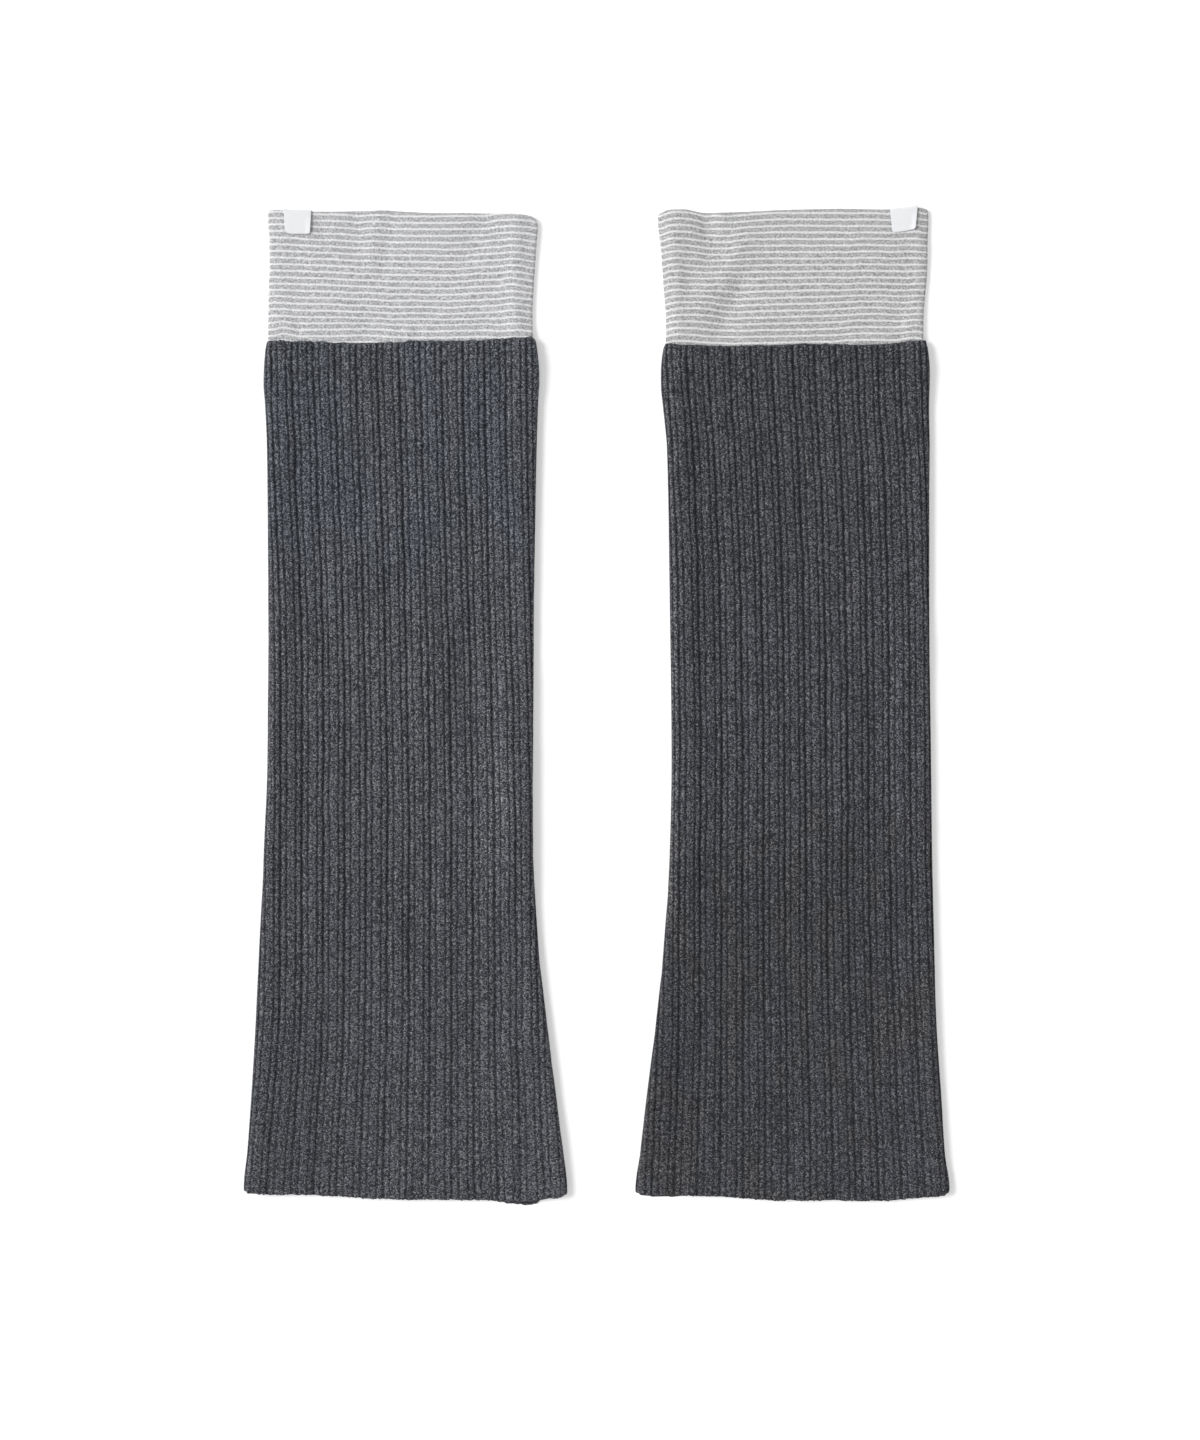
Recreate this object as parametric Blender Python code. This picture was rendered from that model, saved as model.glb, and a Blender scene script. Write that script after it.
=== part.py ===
"""A pair of leg warmers, lying flat side by side with their cuffs towards +Y.

Each leg warmer is a wide-ribbed knit tube, a cuff of doubled jersey whose lower end is sewn inside the
tube's top, and a small woven label folded over the cuff's top edge. The tube narrows a little below the
cuff and flares towards its hem.

Lengths in the tables and in the functions are millimetres; mesh points are written in metres. In a leg's
own frame x runs across from the middle of the leg, "down" runs from the cuff's top towards the hem, and z
is the height above the surface that the leg lies on.
"""

import math
from collections import namedtuple

import bmesh
import bpy

MM = 0.001

# Cloth thicknesses.
RIB_WALL = 2.4          # upper layer of the tube, from a rib's crest to the inside
RIB_UNDER_WALL = 1.6    # lower layer of the tube, pressed flat
RIB_SIDE_WALL = 2.3     # at the folds along the two sides
CUFF_WALL = 1.3         # two layers of jersey
LABEL_WALL = 1.0
SEAM_GAP = 0.3          # between pieces that are sewn together

# The folds along a flattened tube's sides.
TUBE_FOLD = 5.0         # how far in from the edge the fold's round reaches
CUFF_FOLD = 2.6
CUFF_SWELL = 0.5        # how much higher the springy cloth stands beside the cuff's folds
SWELL_REACH = 11.0      # how far that reaches inwards

# The ribs: a repeat is a deep groove, a narrow rib, a shallow groove, a wide rib, and back again.
RIB_REPEATS = 27        # round the whole tube
RIB_DEEP = 1.2
RIB_SHALLOW = 0.7
RIB_NARROW = 0.15       # how far the narrow ribs lie under the wide one's crest
RibPoint = namedtuple("RibPoint", "across depth")
RIB_PROFILE = (
    RibPoint(0.0, RIB_DEEP),
    RibPoint(0.14, RIB_NARROW),
    RibPoint(0.28, RIB_SHALLOW),
    RibPoint(0.39, 0.0),
    RibPoint(0.61, 0.0),
    RibPoint(0.72, RIB_SHALLOW),
    RibPoint(0.86, RIB_NARROW),
)
UNDER_PROFILE = (RibPoint(0.0, 0.0), RibPoint(0.5, 0.0))
RIBBED_EACH_WAY = 8     # repeats to each side of the middle groove that come round to the top somewhere

# The cuff's rounded folded edge, and its end that is sewn inside the tube.
CUFF_EDGE_ANGLES = (75.0, 38.0)
TUCK_RINGS = (-0.7, 0.0, 1.4, 5.0, 16.0)     # places past the seam
EDGE_BLEND = 60.0       # how far along the cloth the shape of a seam or hem line is felt
HEM_BLEND = 130.0

# Points round a flattened tube's smooth surfaces: across the top, round each fold, across the underside.
TUBE_INSIDE = (12, 5, 10)
CUFF_SURFACE = (20, 5, 9)

# The label.
LABEL_WIDTH = 16.8
LABEL_DROP = 13.6       # from the fold to the end of each half
LABEL_TAPER = 0.1       # how much narrower its end is
LABEL_CORNER = 2.4
LABEL_ENTRY = 2.0       # how far under the cuff's edge the straight stretch begins
LABEL_COLUMNS = 7
LABEL_ROWS = 3
LABEL_ARC = 6

# A ring of the tube: its place along the leg, its edges across, the gap between its two layers, how much wider
# that gap is at the side folds, how far the surface is drawn in at a rounded end, and where the middle groove
# lies and how wide a rib repeat is there.
TubeRing = namedtuple("TubeRing", "down left right hollow swell drawn_in groove pitch")

# A ring of the cuff: its place, its edges, how far the underside is lifted, and the gap between its layers.
CuffRing = namedtuple("CuffRing", "down left right lift hollow")

# How far the cloth's edge lies above (+) or below its nominal line, on the upper and the lower layer.
Edge = namedtuple("Edge", "x upper lower")

# A soft trough (height below 0) or ridge in the cuff, between two ends.
Fold = namedtuple("Fold", "x_a down_a x_b down_b half_width height")

Leg = namedtuple("Leg", "side axis_x top_y seam tube hem seam_line cuff cuff_top folds label_x")

LEFT = Leg(
    side="left",
    axis_x=-118.8,
    top_y=298.7,
    seam=78.2,
    tube=(
        TubeRing(78.2, -79.7, 81.8, 3.7, 0.6, 1.3, -0.6, 12.9),
        TubeRing(79.6, -80.3, 82.0, 3.7, 0.6, 0.4, -0.6, 12.9),
        TubeRing(83.2, -81.6, 82.6, 3.7, 0.6, 0.0, -0.6, 12.9),
        TubeRing(96.0, -82.4, 83.8, 3.6, 0.7, 0.0, -0.4, 12.9),
        TubeRing(104.0, -82.2, 83.9, 2.7, 1.0, 0.0, -0.2, 12.9),
        TubeRing(116.0, -81.3, 83.0, 1.6, 1.4, 0.0, 0.0, 12.9),
        TubeRing(145.0, -80.1, 82.0, 0.9, 1.7, 0.0, 0.7, 12.85),
        TubeRing(230.0, -79.5, 81.1, 0.7, 1.8, 0.0, 3.4, 12.7),
        TubeRing(335.0, -80.5, 79.9, 0.7, 1.8, 0.0, 5.2, 12.85),
        TubeRing(384.0, -82.3, 80.4, 0.7, 1.8, 0.0, 5.5, 12.95),
        TubeRing(440.0, -84.8, 83.0, 0.7, 1.8, 0.0, 5.5, 13.0),
        TubeRing(490.0, -87.2, 88.2, 0.8, 1.8, 0.0, 5.4, 13.1),
        TubeRing(540.0, -90.4, 94.6, 0.9, 1.7, 0.0, 4.6, 13.5),
        TubeRing(572.0, -92.5, 98.6, 1.0, 1.8, 0.0, 3.9, 13.8),
        TubeRing(596.5, -94.4, 100.8, 1.1, 1.7, 0.1, 3.6, 14.0),
        TubeRing(597.5, -94.0, 100.4, 1.1, 1.7, 0.7, 3.6, 14.0),
    ),
    hem=(
        Edge(-94.5, 5.2, 5.2),
        Edge(-91.0, 3.8, 4.4),
        Edge(-80.0, 3.1, 3.6),
        Edge(-44.0, 2.4, 2.8),
        Edge(-18.0, 0.6, 1.4),
        Edge(8.0, 0.0, 0.3),
        Edge(50.0, 0.0, 0.0),
        Edge(62.0, 0.0, -1.9),
        Edge(76.0, 0.0, -3.6),
        Edge(83.0, 0.0, -3.0),
        Edge(88.0, 0.0, 0.6),
        Edge(95.0, 0.6, 1.2),
        Edge(101.0, 3.4, 3.4),
    ),
    seam_line=(Edge(-80.0, -0.3, -0.3), Edge(0.0, 0.3, 0.3), Edge(60.0, 1.2, 1.2), Edge(80.0, 1.5, 1.5)),
    cuff=(
        CuffRing(0.65, -79.8, 79.6, 0.0, 1.9),
        CuffRing(2.6, -79.9, 82.6, 0.0, 1.9),
        CuffRing(6.0, -80.0, 83.6, 0.0, 1.9),
        CuffRing(19.0, -79.8, 82.7, 0.0, 1.9),
        CuffRing(34.0, -79.4, 81.7, 0.0, 1.5),
        CuffRing(50.0, -79.7, 80.8, 0.0, 1.3),
        CuffRing(65.0, -80.2, 80.3, 0.0, 1.4),
        CuffRing(75.6, -80.2, 80.6, 1.0, 0.9),
    ),
    cuff_top=(
        Edge(-80.0, 0.0, 0.0),
        Edge(-65.0, 1.0, 0.8),
        Edge(-22.0, 1.2, 1.9),
        Edge(-10.0, 1.7, 2.3),
        Edge(2.0, 0.4, 1.5),
        Edge(50.0, 0.0, 0.3),
        Edge(66.0, -0.6, -0.6),
        Edge(80.0, -1.8, -1.8),
    ),
    folds=(
        Fold(60.0, 2.0, 65.0, 44.0, 7.0, -0.9),
        Fold(72.0, 6.0, 73.0, 50.0, 6.0, 0.5),
        Fold(-12.0, 0.0, -14.0, 20.0, 10.0, 0.5),
        Fold(-80.0, 70.0, -68.0, 76.0, 5.0, 0.4),
    ),
    label_x=-62.1,
)

RIGHT = Leg(
    side="right",
    axis_x=123.6,
    top_y=300.3,
    seam=80.9,
    tube=(
        TubeRing(80.9, -81.6, 76.3, 3.7, 0.6, 1.3, -4.2, 12.85),
        TubeRing(82.3, -82.2, 76.7, 3.7, 0.6, 0.4, -4.2, 12.85),
        TubeRing(85.9, -83.0, 77.4, 3.7, 0.6, 0.0, -4.1, 12.85),
        TubeRing(99.0, -84.1, 78.2, 3.6, 0.7, 0.0, -3.6, 12.85),
        TubeRing(107.0, -84.0, 77.9, 2.7, 1.0, 0.0, -3.2, 12.85),
        TubeRing(119.0, -82.4, 77.6, 1.6, 1.4, 0.0, -2.6, 12.8),
        TubeRing(145.0, -80.0, 78.0, 0.9, 1.7, 0.0, -0.8, 12.8),
        TubeRing(230.0, -78.4, 77.9, 0.7, 1.8, 0.0, 2.3, 12.7),
        TubeRing(335.0, -78.2, 79.0, 0.7, 1.8, 0.0, 3.6, 12.7),
        TubeRing(388.0, -78.9, 79.6, 0.7, 1.8, 0.0, 3.7, 12.75),
        TubeRing(440.0, -82.0, 80.8, 0.7, 1.8, 0.0, 4.2, 12.9),
        TubeRing(490.0, -86.9, 82.2, 0.8, 1.8, 0.0, 5.0, 13.05),
        TubeRing(542.0, -93.3, 85.4, 0.9, 1.7, 0.0, 6.0, 13.4),
        TubeRing(575.0, -97.0, 87.4, 1.0, 1.8, 0.0, 6.5, 13.65),
        TubeRing(598.8, -99.3, 89.6, 1.1, 1.7, 0.1, 6.7, 13.8),
        TubeRing(599.8, -98.9, 89.2, 1.1, 1.7, 0.7, 6.7, 13.8),
    ),
    hem=(
        Edge(-99.5, 6.0, 5.2),
        Edge(-92.0, 3.4, 2.4),
        Edge(-78.0, 3.0, 1.7),
        Edge(-60.0, 2.6, 2.2),
        Edge(-35.0, 1.6, 1.6),
        Edge(-10.0, 0.3, 0.5),
        Edge(45.0, 0.0, 0.2),
        Edge(70.0, 1.6, 1.9),
        Edge(89.7, 3.8, 3.8),
    ),
    seam_line=(Edge(-80.0, 0.3, 0.3), Edge(10.0, 0.0, 0.0), Edge(50.0, 0.6, 0.6), Edge(76.0, 2.0, 2.0)),
    cuff=(
        CuffRing(0.65, -86.0, 77.6, 0.0, 1.9),
        CuffRing(2.6, -86.3, 78.1, 0.0, 1.9),
        CuffRing(7.0, -86.2, 78.1, 0.0, 1.9),
        CuffRing(19.0, -84.9, 77.7, 0.0, 1.9),
        CuffRing(35.0, -83.3, 77.5, 0.0, 1.5),
        CuffRing(52.0, -82.2, 76.3, 0.0, 1.3),
        CuffRing(66.0, -81.2, 75.2, 0.0, 1.4),
        CuffRing(78.2, -81.2, 75.0, 1.0, 0.9),
    ),
    cuff_top=(
        Edge(-86.0, -2.1, -2.1),
        Edge(-79.0, 0.7, 0.7),
        Edge(-70.0, 0.9, 0.9),
        Edge(-58.0, -1.3, -1.0),
        Edge(-42.0, -0.9, -0.6),
        Edge(0.0, 0.8, 0.8),
        Edge(50.0, 0.8, 0.8),
        Edge(72.0, 1.6, 1.6),
        Edge(78.0, 0.6, 0.6),
    ),
    folds=(
        Fold(-58.0, 0.0, -37.0, 24.0, 8.0, -1.0),
        Fold(-37.0, 24.0, -46.0, 50.0, 8.0, -0.8),
        Fold(-46.0, 50.0, -49.0, 76.0, 7.0, -0.6),
        Fold(-74.0, 2.0, -72.0, 66.0, 8.0, 0.8),
        Fold(66.0, 66.0, 72.0, 78.0, 5.0, 0.5),
    ),
    label_x=63.1,
)


def smooth_step(t):
    """0 below 0, 1 above 1, and a soft curve between."""
    t = min(max(t, 0.0), 1.0)
    return t * t * (3.0 - 2.0 * t)


def read(rows, at):
    """A table's row at any value of its first column, by straight lines between the rows."""
    if at <= rows[0][0]:
        return rows[0]
    for low, high in zip(rows, rows[1:]):
        if at <= high[0]:
            t = (at - low[0]) / (high[0] - low[0])
            return type(low)(*[a + (b - a) * t for a, b in zip(low, high)])
    return rows[-1]


def swell(x, left, right, fold, height):
    """Extra height near the side folds, where the springy cloth holds its two layers apart."""
    inside = max(min(x - left, right - x) - fold, 0.0)
    return height * math.exp(-((inside / SWELL_REACH) ** 2))


def flat_tube(left, right, low, high, fold, swelling, counts):
    """(x, z) points round a flattened tube, from the left end of its top, over the top to the right."""
    across, around, under = counts
    middle = (high + swelling + low) / 2
    half_height = (high + swelling - low) / 2
    points = []
    for i in range(across):
        x = left + fold + (right - left - 2 * fold) * i / (across - 1)
        points.append((x, high + swell(x, left, right, fold, swelling)))
    for i in range(1, around + 1):
        angle = math.pi / 2 - math.pi * i / (around + 1)
        points.append((right - fold + fold * math.cos(angle), middle + half_height * math.sin(angle)))
    for i in range(under):
        points.append((right - fold - (right - left - 2 * fold) * i / (under - 1), low))
    for i in range(1, around + 1):
        angle = -math.pi / 2 - math.pi * i / (around + 1)
        points.append((left + fold + fold * math.cos(angle), middle + half_height * math.sin(angle)))
    return points


class Walk:
    """A closed (x, z) outline that can be read by the distance walked along it."""

    def __init__(self, points):
        self.points = points + points[:1]
        self.reached = [0.0]
        for a, b in zip(self.points, self.points[1:]):
            self.reached.append(self.reached[-1] + math.dist(a, b))
        self.length = self.reached[-1]

    def where(self, index):
        """The distance walked to one of the outline's own points."""
        return self.reached[index]

    def at(self, distance):
        """The point at a distance, and the outward normal there."""
        distance %= self.length
        for i in range(len(self.points) - 1):
            if distance <= self.reached[i + 1]:
                break
        a, b = self.points[i], self.points[i + 1]
        step = self.reached[i + 1] - self.reached[i]
        t = (distance - self.reached[i]) / step
        along = ((b[0] - a[0]) / step, (b[1] - a[1]) / step)
        return (a[0] + (b[0] - a[0]) * t, a[1] + (b[1] - a[1]) * t), (-along[1], along[0])


def rib_points():
    """(place in repeats from the middle groove, depth) of every point round the ribbed surface."""
    for repeat in range(-RIBBED_EACH_WAY, RIB_REPEATS - RIBBED_EACH_WAY):
        for point in RIB_PROFILE if repeat < RIBBED_EACH_WAY else UNDER_PROFILE:
            yield repeat + point.across, point.depth


def ribbed_outline(ring):
    """(x, z) points round a tube ring's outside: ribs over the top and sides, and a plain flat underside."""
    high = RIB_UNDER_WALL + ring.hollow + RIB_WALL
    dense = (60, 16, 40)
    walk = Walk(flat_tube(ring.left, ring.right, 0.0, high, TUBE_FOLD, ring.swell, dense))
    right_edge = walk.where(dense[0] + dense[1] // 2)
    left_edge = walk.where(dense[0] + dense[1] + dense[2] + dense[1] // 2)
    start = ring.groove - ring.left - TUBE_FOLD
    ribs_right = (right_edge - start) / ring.pitch
    ribs_left = (start + walk.length - left_edge) / ring.pitch
    under_pitch = (left_edge - right_edge) / (RIB_REPEATS - ribs_right - ribs_left)
    points = []
    for place, depth in rib_points():
        if place > ribs_right:
            distance = right_edge + (place - ribs_right) * under_pitch
        elif place < -ribs_left:
            distance = left_edge + (place + ribs_left) * under_pitch
        else:
            distance = start + place * ring.pitch
        (x, z), (nx, nz) = walk.at(distance)
        showing = smooth_step((nz + 1.0) / 0.8)
        inward = max(depth, ring.drawn_in) * showing
        points.append((x - nx * inward, max(z - nz * inward, 0.0)))
    return points


def inside_of(ring, inset, counts):
    """(x, z) points round a tube ring's inside, or a distance further in."""
    return flat_tube(
        ring.left + RIB_SIDE_WALL + inset,
        ring.right - RIB_SIDE_WALL - inset,
        RIB_UNDER_WALL + inset,
        RIB_UNDER_WALL + ring.hollow - inset,
        TUBE_FOLD - RIB_SIDE_WALL - inset,
        ring.swell,
        counts,
    )


def edge_shift(rows, x, upper):
    """How far a hem or seam line lies above its nominal place; upper is 1 on the top layer, 0 below."""
    row = read(rows, x)
    return row.lower + (row.upper - row.lower) * upper


def tube_y(leg, x, height, down, total):
    """The place along Y of a tube point, bent by the hem's and the seam's own lines."""
    upper = smooth_step(height / total)
    hem_weight = smooth_step((down - (leg.tube[-1].down - HEM_BLEND)) / HEM_BLEND)
    seam_weight = 1.0 - smooth_step((down - leg.seam) / EDGE_BLEND)
    shift = hem_weight * edge_shift(leg.hem, x, upper) + seam_weight * edge_shift(leg.seam_line, x, upper)
    return leg.top_y - down + shift


def fold_height(leg, x, down):
    """The cuff's soft folds at a place on its upper layer."""
    height = 0.0
    for fold in leg.folds:
        run = (fold.x_b - fold.x_a, fold.down_b - fold.down_a)
        along = ((x - fold.x_a) * run[0] + (down - fold.down_a) * run[1]) / (run[0] ** 2 + run[1] ** 2)
        along = min(max(along, 0.0), 1.0)
        off = math.hypot(x - fold.x_a - along * run[0], down - fold.down_a - along * run[1])
        height += fold.height * math.exp(-((off / fold.half_width) ** 2))
    return height * smooth_step((leg.seam - down) / 8.0)


def cuff_y(leg, x, down, upper):
    """The place along Y of a cuff point, between the top edge's line and the seam's."""
    t = smooth_step(down / leg.seam)
    top = edge_shift(leg.cuff_top, x, upper)
    return leg.top_y - down + (1.0 - t) * top + t * edge_shift(leg.seam_line, x, upper)


def cuff_loop(row, inset):
    """(x, z) points round one of the cuff's surfaces, a distance inside its outer one."""
    high = row.lift + 2 * CUFF_WALL + row.hollow
    return flat_tube(
        row.left + inset, row.right - inset, row.lift + inset, high - inset, CUFF_FOLD - inset, CUFF_SWELL,
        CUFF_SURFACE,
    )


def cuff_section(leg, down, loop):
    """(x, y, z) points of a cuff surface, with the folds raised and the ends bent to their lines."""
    low = min(z for _, z in loop)
    high = max(z for _, z in loop)
    points = []
    for x, z in loop:
        upper = (z - low) / (high - low)
        points.append((x, cuff_y(leg, x, down, smooth_step(upper)), z + upper * fold_height(leg, x, down)))
    return points


def new_loop(bm, leg, points):
    """A closed loop of mesh points from a leg's own (x, y, z), in metres in the pair's frame."""
    return [bm.verts.new(((leg.axis_x + x) * MM, y * MM, z * MM)) for x, y, z in points]


def skin(bm, loops):
    """Quads between closed loops of equal counts."""
    for low, high in zip(loops, loops[1:]):
        for i in range(len(low)):
            j = (i + 1) % len(low)
            bm.faces.new((low[i], low[j], high[j], high[i]))


def stitch(bm, outer, inner):
    """Triangles between an outer and an inner closed loop of unlike counts, matched by place round the end."""

    def placed(loop):
        xs = [v.co.x for v in loop]
        middle, half = (max(xs) + min(xs)) / 2, (max(xs) - min(xs)) / 2
        turn = max(range(len(loop)), key=lambda i: xs[i])
        start = min(range(len(loop)), key=lambda i: xs[i])
        ordered = [loop[(start + i) % len(loop)] for i in range(len(loop))]
        last_up = (turn - start) % len(loop)
        places = []
        for i, vert in enumerate(ordered):
            u = (vert.co.x - middle) / half
            places.append(1.0 + u if i <= last_up else 3.0 - u)
        return ordered + ordered[:1], places + [4.0]

    outer, outer_at = placed(outer)
    inner, inner_at = placed(inner)
    i = j = 0
    while i < len(outer) - 1 or j < len(inner) - 1:
        if j == len(inner) - 1 or (i < len(outer) - 1 and outer_at[i + 1] <= inner_at[j + 1]):
            bm.faces.new((outer[i], outer[i + 1], inner[j]))
            i += 1
        else:
            bm.faces.new((outer[i], inner[j + 1], inner[j]))
            j += 1


def finish_mesh(bm, name, material, collection):
    """An object in the collection from a closed bmesh, with its faces pointing out and smooth."""
    bmesh.ops.recalc_face_normals(bm, faces=bm.faces)
    mesh = bpy.data.meshes.new(name)
    bm.to_mesh(mesh)
    bm.free()
    mesh.materials.append(material)
    mesh.shade_smooth()
    mesh.set_sharp_from_angle(angle=math.radians(50))
    obj = bpy.data.objects.new(name, mesh)
    collection.objects.link(obj)
    return obj


def make_tube(leg, material, collection):
    """The ribbed knit tube, one piece of cloth joined along the inner side."""
    bm = bmesh.new()
    outside, inside = [], []
    for ring in leg.tube:
        total = RIB_UNDER_WALL + ring.hollow + RIB_WALL + ring.swell
        for loops, points in ((outside, ribbed_outline(ring)), (inside, inside_of(ring, 0.0, TUBE_INSIDE))):
            placed = [(x, tube_y(leg, x, z, ring.down, total), z) for x, z in points]
            loops.append(new_loop(bm, leg, placed))
    skin(bm, outside)
    skin(bm, inside)
    stitch(bm, outside[0], inside[0])
    stitch(bm, outside[-1], inside[-1])
    return finish_mesh(bm, f"leg_tube_{leg.side}", material, collection)


def make_cuff(leg, material, collection):
    """The doubled jersey cuff: a rounded folded edge on top, and a lower end inside the tube."""
    bm = bmesh.new()
    outside, inside = [], []
    half = CUFF_WALL / 2
    rounding = []
    for degrees in CUFF_EDGE_ANGLES:
        angle = math.radians(degrees)
        rounding.append((half * (1.0 - math.sin(angle)), half * (1.0 - math.cos(angle)), leg.cuff[0]))
    for down, drawn_in, row in rounding + [(row.down, 0.0, row) for row in leg.cuff]:
        for loops, inset in ((outside, drawn_in), (inside, CUFF_WALL - drawn_in)):
            loops.append(new_loop(bm, leg, cuff_section(leg, down, cuff_loop(row, inset))))
    for past_seam in TUCK_RINGS:
        down = leg.seam + past_seam
        ring = read(leg.tube, down)
        for loops, inset in ((outside, SEAM_GAP), (inside, SEAM_GAP + CUFF_WALL)):
            loops.append(new_loop(bm, leg, cuff_section(leg, down, inside_of(ring, inset, CUFF_SURFACE))))
    skin(bm, outside)
    skin(bm, inside)
    skin(bm, [outside[0], inside[0]])
    skin(bm, [outside[-1], inside[-1]])
    return finish_mesh(bm, f"cuff_{leg.side}", material, collection)


def upper_surface(leg, x, down):
    """Height of the cuff's upper layer at a place, where the label lies on it."""
    row = read(leg.cuff, down)
    high = row.lift + 2 * CUFF_WALL + row.hollow + swell(x, row.left, row.right, CUFF_FOLD, CUFF_SWELL)
    return high + fold_height(leg, x, down)


def label_column(leg, across, drop):
    """(across, y, z) points of a cut along the label, down its outside and back up its inside."""
    x = leg.label_x + across
    edge = leg.top_y + edge_shift(leg.cuff_top, x, 1.0)
    half = CUFF_WALL / 2
    outline = []
    for lift in (SEAM_GAP + LABEL_WALL, SEAM_GAP):
        path = []
        for i in range(LABEL_ROWS):
            down = drop + (LABEL_ENTRY - drop) * i / (LABEL_ROWS - 1)
            path.append((down, upper_surface(leg, x, down) + lift))
        crown = upper_surface(leg, x, half) - half
        for i in range(LABEL_ARC + 1):
            angle = math.pi / 2 - math.pi * i / LABEL_ARC
            path.append((half - (half + lift) * math.cos(angle), crown + (half + lift) * math.sin(angle)))
        for i in range(LABEL_ROWS):
            down = LABEL_ENTRY + (drop - LABEL_ENTRY) * i / (LABEL_ROWS - 1)
            path.append((down, upper_surface(leg, x, down) - CUFF_WALL - lift))
        outline.append([(across * (1.0 - LABEL_TAPER * down / LABEL_DROP), edge - down, z) for down, z in path])
    return outline


def make_label(leg, material, collection):
    """The woven label, folded over the cuff's top edge with one half outside and one inside."""
    bm = bmesh.new()
    columns = []
    half_width = LABEL_WIDTH / 2
    for i in range(LABEL_COLUMNS):
        across = -half_width * math.cos(math.pi * i / (LABEL_COLUMNS - 1))
        past = max(abs(across) - (half_width - LABEL_CORNER), 0.0)
        drop = LABEL_DROP - LABEL_CORNER + math.sqrt(max(LABEL_CORNER ** 2 - past ** 2, 0.0))
        outer, inner = label_column(leg, across, drop)
        columns.append([
            new_loop(bm, leg, [(leg.label_x + a, y, z) for a, y, z in path]) for path in (outer, inner)
        ])
    last = len(columns[0][0]) - 1
    for (outer_a, inner_a), (outer_b, inner_b) in zip(columns, columns[1:]):
        for k in range(last):
            bm.faces.new((outer_a[k], outer_a[k + 1], outer_b[k + 1], outer_b[k]))
            bm.faces.new((inner_a[k], inner_b[k], inner_b[k + 1], inner_a[k + 1]))
        for k in (0, last):
            bm.faces.new((outer_a[k], outer_b[k], inner_b[k], inner_a[k]))
    for outer, inner in (columns[0], columns[-1]):
        for k in range(last):
            bm.faces.new((outer[k], inner[k], inner[k + 1], outer[k + 1]))
    return finish_mesh(bm, f"label_{leg.side}", material, collection)


def make_material(name, color, roughness):
    """A cloth material with a plain colour."""
    material = bpy.data.materials.new(name)
    material.use_nodes = True
    shader = material.node_tree.nodes["Principled BSDF"]
    shader.inputs["Base Color"].default_value = (*color, 1.0)
    shader.inputs["Roughness"].default_value = roughness
    shader.inputs["Metallic"].default_value = 0.0
    return material


def centre_on_origin(objects):
    """Moves the meshes together so that the pair's box stands centred on the origin."""
    corners = [v.co for obj in objects for v in obj.data.vertices]
    shift = [-(min(c[k] for c in corners) + max(c[k] for c in corners)) / 2 for k in (0, 1)]
    for obj in objects:
        for vert in obj.data.vertices:
            vert.co.x += shift[0]
            vert.co.y += shift[1]


def main():
    for obj in list(bpy.data.objects):
        bpy.data.objects.remove(obj, do_unlink=True)
    collection = bpy.data.collections.new("leg_warmers")
    bpy.context.scene.collection.children.link(collection)
    charcoal = make_material("charcoal_rib_knit", (0.071, 0.074, 0.083), 0.95)
    striped = make_material("striped_jersey", (0.54, 0.54, 0.56), 0.92)
    white = make_material("white_woven_label", (0.84, 0.86, 0.88), 0.7)
    objects = []
    for leg in (LEFT, RIGHT):
        objects.append(make_tube(leg, charcoal, collection))
        objects.append(make_cuff(leg, striped, collection))
        objects.append(make_label(leg, white, collection))
    centre_on_origin(objects)


main()
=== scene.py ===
"""Looks for a pair of leg warmers that lie flat side by side, seen from straight above.

Each cloth piece stands in for the CAD solid of the same place and keeps its form: a wide-ribbed knit tube,
a cuff of doubled striped jersey sewn inside the tube's top, and a blank woven label folded over the cuff's
top edge. The ribs, folds, puckers and rounded ends are meshes; stitches, stripes and weave are materials.

Lengths in the tables and functions are millimetres; mesh points are written in metres. In a leg's own frame
x runs across from the middle of the leg, "down" runs from the cuff's top towards the hem, and z is the
height above the surface that the leg lies on.
"""

import math
from collections import namedtuple
from functools import partialmethod

import bpy
import numpy as np
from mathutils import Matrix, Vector

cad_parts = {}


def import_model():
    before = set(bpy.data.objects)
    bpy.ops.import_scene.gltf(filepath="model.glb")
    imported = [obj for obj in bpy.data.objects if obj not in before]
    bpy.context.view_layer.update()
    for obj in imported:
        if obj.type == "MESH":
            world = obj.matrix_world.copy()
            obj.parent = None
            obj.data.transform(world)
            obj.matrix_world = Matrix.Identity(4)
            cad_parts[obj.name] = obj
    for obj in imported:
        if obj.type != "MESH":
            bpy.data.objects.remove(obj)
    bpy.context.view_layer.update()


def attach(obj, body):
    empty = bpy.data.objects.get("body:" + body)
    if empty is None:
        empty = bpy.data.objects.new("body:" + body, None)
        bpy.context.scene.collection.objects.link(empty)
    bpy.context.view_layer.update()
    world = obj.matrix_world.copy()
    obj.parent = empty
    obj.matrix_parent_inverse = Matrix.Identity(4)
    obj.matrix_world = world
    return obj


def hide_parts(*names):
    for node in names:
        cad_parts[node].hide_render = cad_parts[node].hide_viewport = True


MM = 0.001
Y_SHIFT = -0.23  # from the tables' places to the pair's frame

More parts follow.
